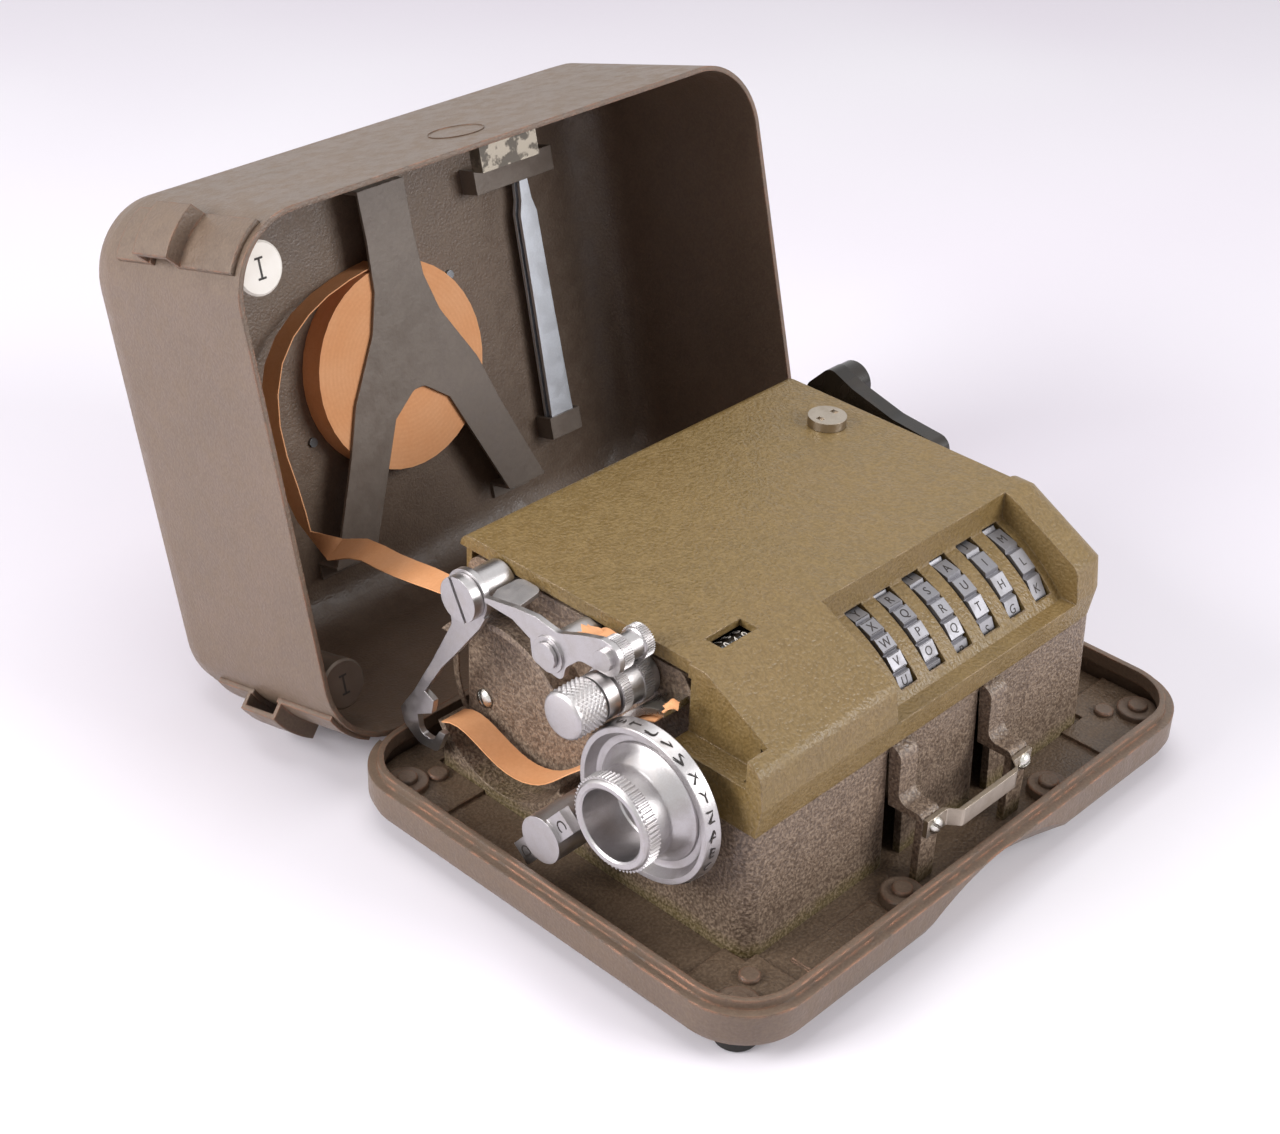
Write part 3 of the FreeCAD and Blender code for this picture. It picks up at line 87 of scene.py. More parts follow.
FOOT_SPOTS = ((-78.4, 53.5), (-78.4, -54.8), (-23.4, -57.0), (35.2, -57.3), (79.0, -55.0), (78.4, 53.5))
RIVET_SPOTS = ((-70.6, 51.0), (-69.6, -50.4), (72.6, -49.0), (70.6, 51.0))

# The tape roll's middle on the lid: across, away from the hinge side, and away from the rim
ROLL_X = -2.0
ROLL_HEIGHT = 67.3
ROLL_DEPTH = 60.0
# Each can: its node, its place across and away from the hinge side, its finish and its slot
CANS = (
    ("light_can", -78.4, 122.0, "white_cap", "light_cap"),
    ("dark_can", -80.3, 16.9, "dark_cap", "frame_paint"),
)
# How far from the rim the mark in the end of a can lies
CAN_MARK = 3.95

# Lettering: what shows first, and at which angle from the back towards the top
LETTERS = "ABCDEFGHIJKLMNOPQRSTUVWXYZ"
DISK_FIRST = math.radians(174.0)
DISK_LETTER_X = -73.9
DISK_LETTER_R = 19.53
COUNT_SHOWN = (0, 0, 4, 9)
COUNT_FIRST = math.radians(96.0)
# Half the width of a key wheel's flat tooth, and the place of its engraved frame, as shares of one tooth
TOOTH_HALF = 0.38
FRAME_HALF = 0.36
# Each key wheel leaves out the last letters: its letters, and the one that stands at which tooth
WHEEL_LETTERS = (
    (LETTERS, "X", 8),
    (LETTERS.replace("W", ""), "Q", 8),
    (LETTERS[:22] + "X", "S", 7),
    (LETTERS[:21], "A", 6),
    (LETTERS[:19], "J", 5),
    (LETTERS[:17], "M", 5),
)

# The camera's place in millimetres and its directions, fitted to the photograph's straight lines
CAMERA_SPOT = Vector((-357.6, -275.25, 346.3))
CAMERA_RIGHT = Vector((0.68980, -0.72314, 0.03524))
CAMERA_UP = Vector((0.36738, 0.39155, 0.84363))
CAMERA_AHEAD = Vector((0.62386, 0.56899, -0.53576))
# Each lamp: its place and width in metres, and its power in watts
LAMPS = (
    ("left lamp", (-0.90, 0.45, 0.55), 0.6, 12.0),
    ("front lamp", (0.55, -1.00, 0.65), 0.7, 13.0),
    ("top lamp", (0.00, 0.15, 1.15), 0.8, 4.5),
)
LAMP_AIM = Vector((0, 0.03, 0.05))

# Settings that many shader nodes share
BLEND = {"data_type": "RGBA"}
TIMES = {"operation": "MULTIPLY", "use_clamp": True}
LESS = {"operation": "SUBTRACT", "use_clamp": True}
PLUS = {"operation": "ADD", "use_clamp": True}
TIMES_PLUS = {"operation": "MULTIPLY_ADD"}


def linear(hex_colour):
    """Turns an sRGB hex colour into the linear values that the shader takes."""
    parts = [int(hex_colour[i:i + 2], 16) / 255 for i in (1, 3, 5)]
    return tuple(p / 12.92 if p <= 0.04045 else ((p + 0.055) / 1.055) ** 2.4 for p in parts)


def shade(hex_colour):
    return (*linear(hex_colour), 1.0)


class CipherSizes(bpy.types.PropertyGroup):
    """Sizes of the small pieces that the looks add."""

    wheel_letter: bpy.props.FloatProperty(
        name="Key wheel letter", description="Height of a letter on a key wheel",
        default=2.4 * MM, unit="LENGTH")
    disk_letter: bpy.props.FloatProperty(
        name="Disk letter", description="Height of a letter on the setting disk",
        default=3.0 * MM, unit="LENGTH")
    counter_digit: bpy.props.FloatProperty(
        name="Counter digit", description="Height of a digit on a counter wheel",
        default=2.7 * MM, unit="LENGTH")
    ink: bpy.props.FloatProperty(
        name="Ink", description="How far lettering stands out of its face",
        default=0.05 * MM, unit="LENGTH")
    screw_slot: bpy.props.FloatProperty(
        name="Screw slot", description="Width of a screw driver slot",
        default=0.7 * MM, unit="LENGTH")
    floor: bpy.props.FloatProperty(
        name="Floor", description="Width of the pale floor", default=6.0, unit="LENGTH")
    lens: bpy.props.FloatProperty(
        name="Lens", description="Focal length on a 36 mm wide sensor", default=62.11, unit="CAMERA")


class CipherColours(bpy.types.PropertyGroup):
    """Main colours of the machine."""

    case: bpy.props.FloatVectorProperty(
        name="Case enamel", description="Olive brown of the tray and the outer lid",
        subtype="COLOR", size=3, default=linear("#6E5B4D"), min=0, max=1)
    cover: bpy.props.FloatVectorProperty(
        name="Cover enamel", description="Olive khaki of the inner cover",
        subtype="COLOR", size=3, default=linear("#7C633B"), min=0, max=1)
    body: bpy.props.FloatVectorProperty(
        name="Body enamel", description="Darker brown of the machine body",
        subtype="COLOR", size=3, default=linear("#7E6959"), min=0, max=1)
    paper: bpy.props.FloatVectorProperty(
        name="Tape paper", description="Peach colour of the old paper tape",
        subtype="COLOR", size=3, default=linear("#E9A671"), min=0, max=1)


def add(tree, kind, settings, inputs):
    """Adds a shader node with its settings and its inputs, each a value or another node's output."""
    node = tree.nodes.new(kind)
    for key, value in settings.items():
        setattr(node, key, value)
    for key, value in inputs.items():
        if isinstance(value, bpy.types.NodeSocket):
            tree.links.new(value, node.inputs[key])
        else:
            node.inputs[key].default_value = value
    return node


def new_finish(name):
    """Starts a material: its empty node tree and its object coordinates in metres."""
    material = bpy.data.materials.new(name)
    material.use_nodes = True
    tree = material.node_tree
    tree.nodes.clear()
    return material, tree, add(tree, "ShaderNodeTexCoord", {}, {}).outputs["Object"]


def surface(tree, inputs):
    """Ends a material: its surface shader with these inputs, joined to the output."""
    shader = add(tree, "ShaderNodeBsdfPrincipled", {}, inputs)
    add(tree, "ShaderNodeOutputMaterial", {}, {"Surface": shader.outputs[0]})


def speckle(tree, place, size_mm, detail=3.0, low=0.35, high=0.65):
    """A noise of spots about size_mm across, stretched to run from 0 to 1."""
    noise = add(tree, "ShaderNodeTexNoise", {}, {
        "Vector": place, "Scale": 1 / (size_mm * MM), "Detail": detail, "Roughness": 0.6})
    spots = add(tree, "ShaderNodeMapRange", {}, {
        "Value": noise.outputs["Fac"], "From Min": low, "From Max": high})
    return spots.outputs["Result"]


def layer(tree, below, where, share, colour):
    """Lays a colour over what is below, as far as where says, times a share."""
    amount = add(tree, "ShaderNodeMath", TIMES, {0: where, 1: share})
    return add(tree, "ShaderNodeMix", BLEND, {0: amount.outputs[0], 6: below, 7: shade(colour)}).outputs[2]


def rounded_wear(tree, reach_mm, patches, share):
    """A surface direction that rounds every edge within reach_mm, and how far paint has rubbed off
    there: where the two directions part by more than share, broken up by patches."""
    rounded = add(tree, "ShaderNodeBevel", {"samples": 2}, {"Radius": reach_mm * MM}).outputs[0]
    true = add(tree, "ShaderNodeNewGeometry", {}, {}).outputs["Normal"]
    turn = add(tree, "ShaderNodeVectorMath", {"operation": "DOT_PRODUCT"}, {0: rounded, 1: true})
    edge = add(tree, "ShaderNodeMapRange", {}, {
        "Value": turn.outputs["Value"], "From Min": 1.0 - share, "From Max": 0.80})
    wear = add(tree, "ShaderNodeMath", TIMES, {0: edge.outputs["Result"], 1: patches})
    return rounded, wear.outputs[0]


def wrinkle_enamel(name, colour, dark, light, worn, grain_mm, relief_mm, rough, fleck, reach_mm, band=None):
    """Stoved wrinkle enamel on sheet or cast metal: a pebbled skin that breaks up the gloss,
    browner where it is handled, and rubbed to coppery primer along its edges.
    A band (low, high, colour) in millimetres keeps its unworn colour near the floor plate."""
    material, tree, place = new_finish(name)
    cloud = speckle(tree, place, 26.0, 3.0, 0.30, 0.70)
    patch = speckle(tree, place, 4.5, 3.0, 0.40, 0.66)
    grain = speckle(tree, place, grain_mm * 0.8, 1.0, 0.32, 0.68)
    thin = add(tree, "ShaderNodeMath", LESS, {0: 1.0, 1: cloud}).outputs[0]
    hollow = add(tree, "ShaderNodeMath", LESS, {0: 1.0, 1: grain}).outputs[0]
    tone = layer(tree, (*colour, 1.0), thin, 0.35, dark)
    tone = layer(tree, tone, patch, 0.15, light)
    if band:
        low, high, fresh = band
        height = add(tree, "ShaderNodeSeparateXYZ", {}, {"Vector": place}).outputs["Z"]
        ragged = add(tree, "ShaderNodeMath", TIMES_PLUS, {0: patch, 1: 1.5 * MM, 2: height}).outputs[0]
        kept = add(tree, "ShaderNodeMapRange", {}, {
            "Value": ragged, "From Min": high * MM, "From Max": low * MM})
        tone = layer(tree, tone, kept.outputs["Result"], 1.0, fresh)
    tone = layer(tree, tone, grain, fleck, light)
    tone = layer(tree, tone, hollow, fleck, dark)
    rounded, wear = rounded_wear(tree, reach_mm, speckle(tree, place, 5.0, 4.0, 0.40, 0.56), 0.02)
    tone = layer(tree, tone, wear, 1.0, worn)
    skin = add(tree, "ShaderNodeTexVoronoi", {"feature": "SMOOTH_F1"}, {
        "Vector": place, "Scale": 1 / (grain_mm * MM), "Smoothness": 0.6})
    height = add(tree, "ShaderNodeMath", TIMES_PLUS, {0: skin.outputs["Distance"], 1: -0.9, 2: grain})
    relief = add(tree, "ShaderNodeBump", {}, {
        "Strength": 0.8, "Distance": relief_mm * MM, "Height": height.outputs[0], "Normal": rounded})
    gloss = add(tree, "ShaderNodeMapRange", {}, {
        "Value": patch, "To Min": rough - 0.07, "To Max": rough + 0.10})
    bare = add(tree, "ShaderNodeMath", TIMES, {0: wear, 1: 0.5})
    surface(tree, {"Base Color": tone, "Roughness": gloss.outputs["Result"],
                   "Normal": relief.outputs[0], "Metallic": bare.outputs[0]})
    return material


def bare_metal(name, colour, stain, rough, stain_share=0.5, tool_marks=0.25):
    """Bare or plated metal: turned or cast, with handling stains in the hollows and fine tool marks."""
    material, tree, place = new_finish(name)
    spots = speckle(tree, place, 5.0, 3.0, 0.45, 0.75)
    fine = speckle(tree, place, 0.35, 1.0)
    tone = layer(tree, shade(colour), spots, stain_share, stain)
    tone = layer(tree, tone, fine, 0.12, stain)
    rounded = add(tree, "ShaderNodeBevel", {"samples": 2}, {"Radius": 0.25 * MM})
    relief = add(tree, "ShaderNodeBump", {}, {
        "Strength": tool_marks, "Distance": 0.03 * MM, "Height": fine, "Normal": rounded.outputs[0]})
    gloss = add(tree, "ShaderNodeMapRange", {}, {
        "Value": spots, "To Min": rough - 0.05, "To Max": rough + 0.15})
    surface(tree, {"Base Color": tone, "Roughness": gloss.outputs["Result"],
                   "Normal": relief.outputs[0], "Metallic": 1.0})
    return material


def rubbed_plate(name, paint, metal):
    """Enamelled spring steel, rubbed bright in large ragged patches where the catch slides."""
    material, tree, place = new_finish(name)
    bright = speckle(tree, place, 5.0, 4.0, 0.44, 0.50)
    bare = add(tree, "ShaderNodeMath", TIMES, {0: bright, 1: 0.9})
    relief = add(tree, "ShaderNodeBump", {}, {"Strength": 0.4, "Distance": 0.05 * MM, "Height": bright})
    surface(tree, {"Base Color": layer(tree, shade(paint), bright, 1.0, metal), "Roughness": 0.38,
                   "Normal": relief.outputs[0], "Metallic": bare.outputs[0]})
    return material


def plain_paint(name, colour, worn, rough, wear_share=0.02, metal=0.0):
    """Smooth stoved paint, moulded rubber or ink: even, a little cloudy, chipped on its edges."""
    material, tree, place = new_finish(name)
    cloud = speckle(tree, place, 9.0, 2.0)
    fine = speckle(tree, place, 0.5, 1.0)
    wear = rounded_wear(tree, 0.5, speckle(tree, place, 3.0, 3.0, 0.48, 0.62), wear_share)[1]
    tone = layer(tree, shade(colour), cloud, 0.30, worn)
    tone = layer(tree, tone, wear, 0.8, worn)
    relief = add(tree, "ShaderNodeBump", {}, {"Strength": 0.2, "Distance": 0.02 * MM, "Height": fine})
    gloss = add(tree, "ShaderNodeMapRange", {}, {
        "Value": cloud, "To Min": rough - 0.05, "To Max": rough + 0.12})
    surface(tree, {"Base Color": tone, "Roughness": gloss.outputs["Result"],
                   "Normal": relief.outputs[0], "Metallic": metal})
    return material


def tape_paper(name, colour, wound):
    """Calendered paper tape, aged peach. Wound on its roll, the edges of the turns show as fine rings."""
    material, tree, place = new_finish(name)
    fibre = speckle(tree, place, 0.8, 4.0)
    cloud = speckle(tree, place, 12.0, 4.0)
    tone = layer(tree, (*colour, 1.0), cloud, 0.5, "#F2B98A")
    tone = layer(tree, tone, fibre, 0.18, "#C97C48")
    if wound:
        middle = lid_point(ROLL_X, HALF_Y - ROLL_HEIGHT, ROLL_DEPTH) * MM
        shift = -(Matrix.Rotation(LID_OPEN, 3, "X") @ middle)
        flat = add(tree, "ShaderNodeMapping", {}, {
            "Vector": place, "Location": shift, "Rotation": (LID_OPEN, 0, 0)})
        # Turns are 0.08 mm thick, too fine to show, so the rings are drawn about 1.3 mm apart
        rings = add(tree, "ShaderNodeTexWave", {"wave_type": "RINGS", "rings_direction": "Z"}, {
            "Vector": flat.outputs[0], "Scale": 240.0, "Distortion": 1.2,
            "Detail": 3.0, "Detail Scale": 2.0})
        tone = layer(tree, tone, rings.outputs["Fac"], 0.22, "#DB9360")
    relief = add(tree, "ShaderNodeBump", {}, {"Strength": 0.25, "Distance": 0.03 * MM, "Height": fibre})
    surface(tree, {"Base Color": tone, "Roughness": 0.72, "Normal": relief.outputs[0]})
    return material


def lid_point(x, y, z):
    """A point on the closed lid, in millimetres with z from the tray's rim, where the open lid has it."""
    closed = Vector((x, y, TRAY_RIM + z))
    hinge = Vector((0, HINGE_Y, HINGE_Z))
    return hinge + Matrix.Rotation(-LID_OPEN, 3, "X") @ (closed - hinge)


def lid_turn():
    """Moves a mesh made in metres on the closed lid to the open lid."""
    hinge = Matrix.Translation(Vector((0, HINGE_Y, HINGE_Z)) * MM)
    return hinge @ Matrix.Rotation(-LID_OPEN, 4, "X") @ hinge.inverted()


finishes = {}


def make_finishes(colours):
    """Every finish of the machine, by the name that the pieces ask for."""
    finishes.update({
        "case": wrinkle_enamel("wrinkle_enamel_case", colours.case, "#54463A", "#85735F", "#A8755A",
                               0.9, 0.05, 0.42, 0.18, 0.9),
        "cover": wrinkle_enamel("wrinkle_enamel_cover", colours.cover, "#64532C", "#957E52", "#A58F78",
                                1.1, 0.14, 0.42, 0.35, 0.5),
        "body": wrinkle_enamel("wrinkle_enamel_body", colours.body, "#4A3C31", "#A08C78", "#A59280",
                               1.0, 0.16, 0.42, 0.65, 0.5, (10.0, 13.5, "#6E6228")),
        "floor": wrinkle_enamel("wrinkle_enamel_floor", linear("#64513F"), "#46382C", "#836F5B", "#9A7460",
                                1.0, 0.10, 0.42, 0.40, 0.6),
        "sheet": wrinkle_enamel("enamel_on_sheet", linear("#7B6F66"), "#665B50", "#8B8074", "#A0948A",
                                1.6, 0.03, 0.36, 0.10, 0.4),
        "catch": rubbed_plate("enamelled_catch_rubbed_bright", "#4E4538", "#8F877B"),
        "alloy": bare_metal("satin_cast_alloy", "#BBB8B9", "#948478", 0.38, 0.25),
        "nickel": bare_metal("nickel_plate", "#D4D1CB", "#A39A88", 0.26, 0.35),
        "worn_nickel": bare_metal("worn_nickel_plate", "#B3A89B", "#7F705F", 0.34, 0.40),
        "tweezer": bare_metal("polished_tool_steel", "#DADDE4", "#A0A5AE", 0.48, 0.2),
        "steel": bare_metal("blued_steel", "#8A8C90", "#4A4640", 0.34, 0.6),
        "brass": bare_metal("turned_brass", "#C9A25E", "#7E6236", 0.32, 0.5),
        "wheel": bare_metal("tinned_wheel_rim", "#8F8E93", "#6E6762", 0.50, 0.3),
        "black": plain_paint("black_japanned_steel", "#15120F", "#3A2C22", 0.22, 0.02),
        "rubber": plain_paint("moulded_rubber", "#1E1C1A", "#35302A", 0.75),
        "ink": plain_paint("engraved_letter_fill", "#1B1512", "#3A2E28", 0.55),
        "white_cap": plain_paint("white_moulded_cap", "#EFEAE2", "#CFC4B4", 0.40),
        "dark_cap": plain_paint("brown_oxidised_steel", "#5A4D42", "#7D6E62", 0.42, 0.02, 0.4),
        "paper": tape_paper("paper_tape", colours.paper, False),
        "roll": tape_paper("paper_tape_wound", colours.paper, True),
    })


def coat(node_name, finish):
    """Gives a carried-over node a better finish in its own slots."""
    node = frame["nodes"][node_name]
    if not node.material_slots:
        node.data.materials.append(finishes[finish])
    for slot in node.material_slots:
        slot.material = finishes[finish]


def place_piece(name, bm, finish, body, stands_for=(), sharp=35.0, weighted=True):
    """Turns a bmesh into a finished piece: shaded smooth up to sharp degrees, riding on its body."""
    limit = math.radians(sharp)
    for face in bm.faces:
        face.smooth = True
    for edge in bm.edges:
        edge.smooth = len(edge.link_faces) == 2 and edge.calc_face_angle(0.0) <= limit
    mesh = bpy.data.meshes.new(name)
    bm.to_mesh(mesh)
    bm.free()
    if "custom_normal" in mesh.attributes:
        mesh.attributes.remove(mesh.attributes["custom_normal"])
    mesh.materials.clear()
    mesh.materials.append(finishes[finish])
    for polygon in mesh.polygons:
        polygon.material_index = 0
    piece = bpy.data.objects.new(name, mesh)
    bpy.context.scene.collection.objects.link(piece)
    if weighted:
        even = piece.modifiers.new("even shading", "WEIGHTED_NORMAL")
        even.keep_sharp = True
    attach(piece, body)
    if stands_for:
        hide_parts(*stands_for)
    return piece


def body_of(node_name):
    for body, nodes in frame["record"]["behaviour"]["bodies"].items():
        if node_name in nodes:
            return body
    raise ValueError(node_name + " is in no body")


def merged(node_name):
    """A copy of a node's mesh with its loose triangles joined."""
    bm = bmesh.new()
    bm.from_mesh(frame["nodes"][node_name].data)
    bmesh.ops.remove_doubles(bm, verts=bm.verts, dist=3e-6)
    return bm


def smooth_copy(node_name, finish, sharp=35.0):
    """A merged, smoothly shaded copy that stands for a node."""
    return place_piece(node_name + "_smooth", merged(node_name), finish, body_of(node_name),
                       (node_name,), sharp)


def spun(profile, matrix, steps=72):
    """A turned shape: its profile of (along, radius) in millimetres, spun about local X, then placed."""
    bm = bmesh.new()
    points = [bm.verts.new((a * MM, r * MM, 0)) for a, r in profile]
    edges = [bm.edges.new(pair) for pair in zip(points, points[1:])]
    bmesh.ops.spin(bm, geom=points + edges, axis=X_AXIS, cent=(0, 0, 0), angle=math.tau, steps=steps,
                   use_merge=True, use_duplicate=False)
    bmesh.ops.remove_doubles(bm, verts=bm.verts, dist=1e-7)
    bmesh.ops.recalc_face_normals(bm, faces=bm.faces)
    bmesh.ops.transform(bm, matrix=matrix, verts=bm.verts)
    return bm


def along_x(y, z):
    return Matrix.Translation((0, y * MM, z * MM))


def upright(x, y, z):
    """Puts local X along world Z."""
    return Matrix.Translation((x * MM, y * MM, z * MM)) @ Matrix.Rotation(math.radians(-90), 4, "Y")


def join(target, source):
    """Adds one bmesh to another and frees it."""
    mesh = bpy.data.meshes.new("joined")
    source.to_mesh(mesh)
    source.free()
    target.from_mesh(mesh)
    bpy.data.meshes.remove(mesh)
    return target


def block(size, matrix):
    """A small block with softened edges, sizes in millimetres."""
    bm = bmesh.new()
    bmesh.ops.create_cube(bm, size=1.0)
    bmesh.ops.scale(bm, vec=Vector(size) * MM, verts=bm.verts)
    bmesh.ops.bevel(bm, geom=bm.edges[:], offset=min(size) * 0.18 * MM, affect="EDGES", segments=2,
                    profile=0.5, material=-1)
    bmesh.ops.transform(bm, matrix=matrix, verts=bm.verts)
    return bm


glyphs = {}


def glyph(character, height, depth):
    """A letter as a flat mesh, centred, in local X and Y, with its face towards local Z."""
    key = (character, round(height, 6), round(depth, 6))
    if key not in glyphs:
        curve = bpy.data.curves.new("glyph", "FONT")
        curve.body = character
        curve.size = height * 1.38
        curve.extrude = depth
        curve.resolution_u = 3
        curve.align_x = "CENTER"
        drawn = bpy.data.objects.new("glyph", curve)
        bpy.context.scene.collection.objects.link(drawn)
        bpy.context.view_layer.update()
        mesh = bpy.data.meshes.new_from_object(drawn.evaluated_get(bpy.context.evaluated_depsgraph_get()))
        bpy.data.objects.remove(drawn)
        bpy.data.curves.remove(curve)
        ys = [v.co.y for v in mesh.vertices]
        mesh.transform(Matrix.Translation((0, -(min(ys) + max(ys)) / 2, 0)))
        glyphs[key] = mesh
    return glyphs[key]


def letter_on_rim(bm, character, height, depth, x, y, z, radius, angle, width=0.82):
    """Adds a letter to a round rim: it reads along +X and its top points to smaller angles."""
    up_way = Vector((0, math.sin(angle), -math.cos(angle)))
    out = Vector((0, math.cos(angle), math.sin(angle)))
    spot = Vector((x, y + radius * math.cos(angle), z + radius * math.sin(angle))) * MM
    turn = Matrix((X_AXIS * width, up_way, out)).transposed().to_4x4()
    first = len(bm.verts)
    bm.from_mesh(glyph(character, height, depth))
    bm.verts.ensure_lookup_table()
    bmesh.ops.transform(bm, matrix=Matrix.Translation(spot) @ turn, verts=bm.verts[first:])


def ridged_band(x0, x1, y, z, low_r, high_r, ridges):
    """A ring of straight knurling, open in the middle: a grid rolled round, its rows along the section."""
    bm = bmesh.new()
    around = ridges * 4
    bmesh.ops.create_grid(bm, x_segments=4, y_segments=around, size=0.5)
    bore_r = low_r - 0.3
    for vert in bm.verts:
        corner = round((vert.co.x + 0.5) * 4) % 4
        step = round((vert.co.y + 0.5) * around)
        angle = math.tau * step / around
        outer_r = high_r if step % 4 < 2 else low_r
        x, r = ((x0, outer_r), (x1, outer_r), (x1, bore_r), (x0, bore_r))[corner]
        vert.co = Vector((x, y + r * math.cos(angle), z + r * math.sin(angle))) * MM
    bmesh.ops.remove_doubles(bm, verts=bm.verts, dist=1e-6)
    bmesh.ops.recalc_face_normals(bm, faces=bm.faces)
    return bm


def diamond_sleeve(x0, x1, y, z, radius, around, rows, depth):
    """A sleeve of diamond knurling: a grid rolled into a cylinder, with every second point raised."""
    bm = bmesh.new()
    bmesh.ops.create_grid(bm, x_segments=rows, y_segments=around * 2, size=0.5)
    for vert in bm.verts:
        row = round((vert.co.x + 0.5) * rows)
        step = round((vert.co.y + 0.5) * around * 2)
        angle = math.tau * step / (around * 2)
        vert.tag = row not in (0, rows) and (row + step) % 2 == 0
        x = x0 + (x1 - x0) * row / rows
        r = radius if vert.tag else radius - depth
        vert.co = Vector((x, y + r * math.cos(angle), z + r * math.sin(angle))) * MM
    # Each raised point becomes the tip of a four-sided pyramid, split from its neighbours along the valleys
    for face in bm.faces[:]:
        valley = [vert for vert in face.verts if not vert.tag]
        if len(valley) == 2:
            bmesh.utils.face_split(face, valley[0], valley[1])
    bmesh.ops.remove_doubles(bm, verts=bm.verts, dist=1e-6)
    bmesh.ops.triangulate(bm, faces=bm.faces)
    bmesh.ops.recalc_face_normals(bm, faces=bm.faces)
    return bm


def slotted_head(target, radius, height, matrix, turn, slot_w):
    """Adds a round screw head with a driver slot: two halves of a dome over a low core."""
    profile = ((0.0, radius), (height * 0.35, radius), (height * 0.75, radius * 0.80),
               (height, radius * 0.42), (height, 0))
    dome = spun(profile, Matrix.Identity(4), 32)
    for side in (-1, 1):
        half = dome.copy()
        bmesh.ops.bisect_plane(half, geom=half.verts[:] + half.edges[:] + half.faces[:],
                               plane_co=(0, side * slot_w / 2 * MM, 0), plane_no=(0, side, 0),
                               clear_inner=True)
        bmesh.ops.holes_fill(half, edges=[edge for edge in half.edges if edge.is_boundary], sides=0)
        bmesh.ops.recalc_face_normals(half, faces=half.faces)
        bmesh.ops.transform(half, matrix=matrix @ Matrix.Rotation(turn, 4, "X"), verts=half.verts)
        join(target, half)
    dome.free()
    core_r = radius * 0.86
    join(target, spun(((0.0, core_r), (height * 0.30, core_r), (height * 0.30, 0)), matrix, 24))


def torn_scrap(x, y, z, wide, long, lean, seed):
    """A scrap of tape, curled and torn along one end."""
    bm = bmesh.new()
    bmesh.ops.create_grid(bm, x_segments=9, y_segments=9, size=0.5)
    for vert in bm.verts:
        u, v = vert.co.x, vert.co.y
        ragged = 0.10 * math.sin(17.0 * u + 3.0 * seed) + 0.07 * math.sin(41.0 * u + seed)
        across = wide * u * (1.0 + 0.15 * math.sin(9.0 * v + seed))
        curl = 0.5 * math.sin(5.0 * v + seed) + 0.3 * math.sin(6.0 * u)
        vert.co = Vector((across, long * (v + ragged * (v + 0.5)), curl)) * MM
    turn = Matrix.Rotation(lean, 4, "X") @ Matrix.Rotation(0.3 * seed, 4, "Z")
    bmesh.ops.transform(bm, matrix=Matrix.Translation(Vector((x, y, z)) * MM) @ turn, verts=bm.verts)
    bmesh.ops.solidify(bm, geom=bm.faces[:], thickness=0.12 * MM)
    bmesh.ops.recalc_face_normals(bm, faces=bm.faces)
    return bm


class CIPHER_OT_case(bpy.types.Operator):
    """Makes the tray with its feet, the outer lid and what is fixed to their outsides."""

    bl_idname = "cipher.case"
    bl_label = "Tray and outer lid"

    def execute(self, context):
        smooth_copy("base_tray", "case", 32.0)
        smooth_copy("outer_lid", "case", 32.0)
        smooth_copy("strap_loops", "case", 40.0)
        smooth_copy("lid_catch", "catch", 40.0)
        smooth_copy("hinge_pins", "steel", 50.0)

        low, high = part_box("catch_disc")
        radius = (high.x - low.x) / 2 / MM
        profile = ((0.0, radius), (0.25, radius), (0.45, radius - 0.25), (0.45, 0))
        outward = Matrix.Rotation(-LID_OPEN, 3, "X") @ Vector((0, 1, 0))
        turn = X_AXIS.rotation_difference(outward).to_matrix().to_4x4()
        spot = Matrix.Translation((low + high) / 2 - outward * 0.1 * MM)
        disc = spun(profile, spot @ turn, 56)
        place_piece("catch_disc_round", disc, "case", "lid", ("catch_disc",), 40.0)

        feet = bmesh.new()
        caps = bmesh.new()
        foot_profile = ((0.0, 0), (0.0, 4.6), (0.5, 5.1), (3.6, 5.2), (FOOT, 5.2), (FOOT, 0))
        cap_profile = ((0.0, 5.25), (3.9, 5.25), (4.15, 5.0), (4.15, 0))
        for x, y in FOOT_SPOTS:
            join(feet, spun(foot_profile, upright(x, y, 0.0), 40))
            join(caps, spun(cap_profile, upright(x, y, FOOT + 1.95), 48))
        low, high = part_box("rubber_feet")
        bmesh.ops.scale(feet, vec=(1, 1, (high.z - low.z) / (FOOT * MM)), verts=feet.verts)
        place_piece("round_rubber_feet", feet, "rubber", "base", ("rubber_feet",))
        place_piece("foot_boss_caps", caps, "case", "base")
        return {"FINISHED"}


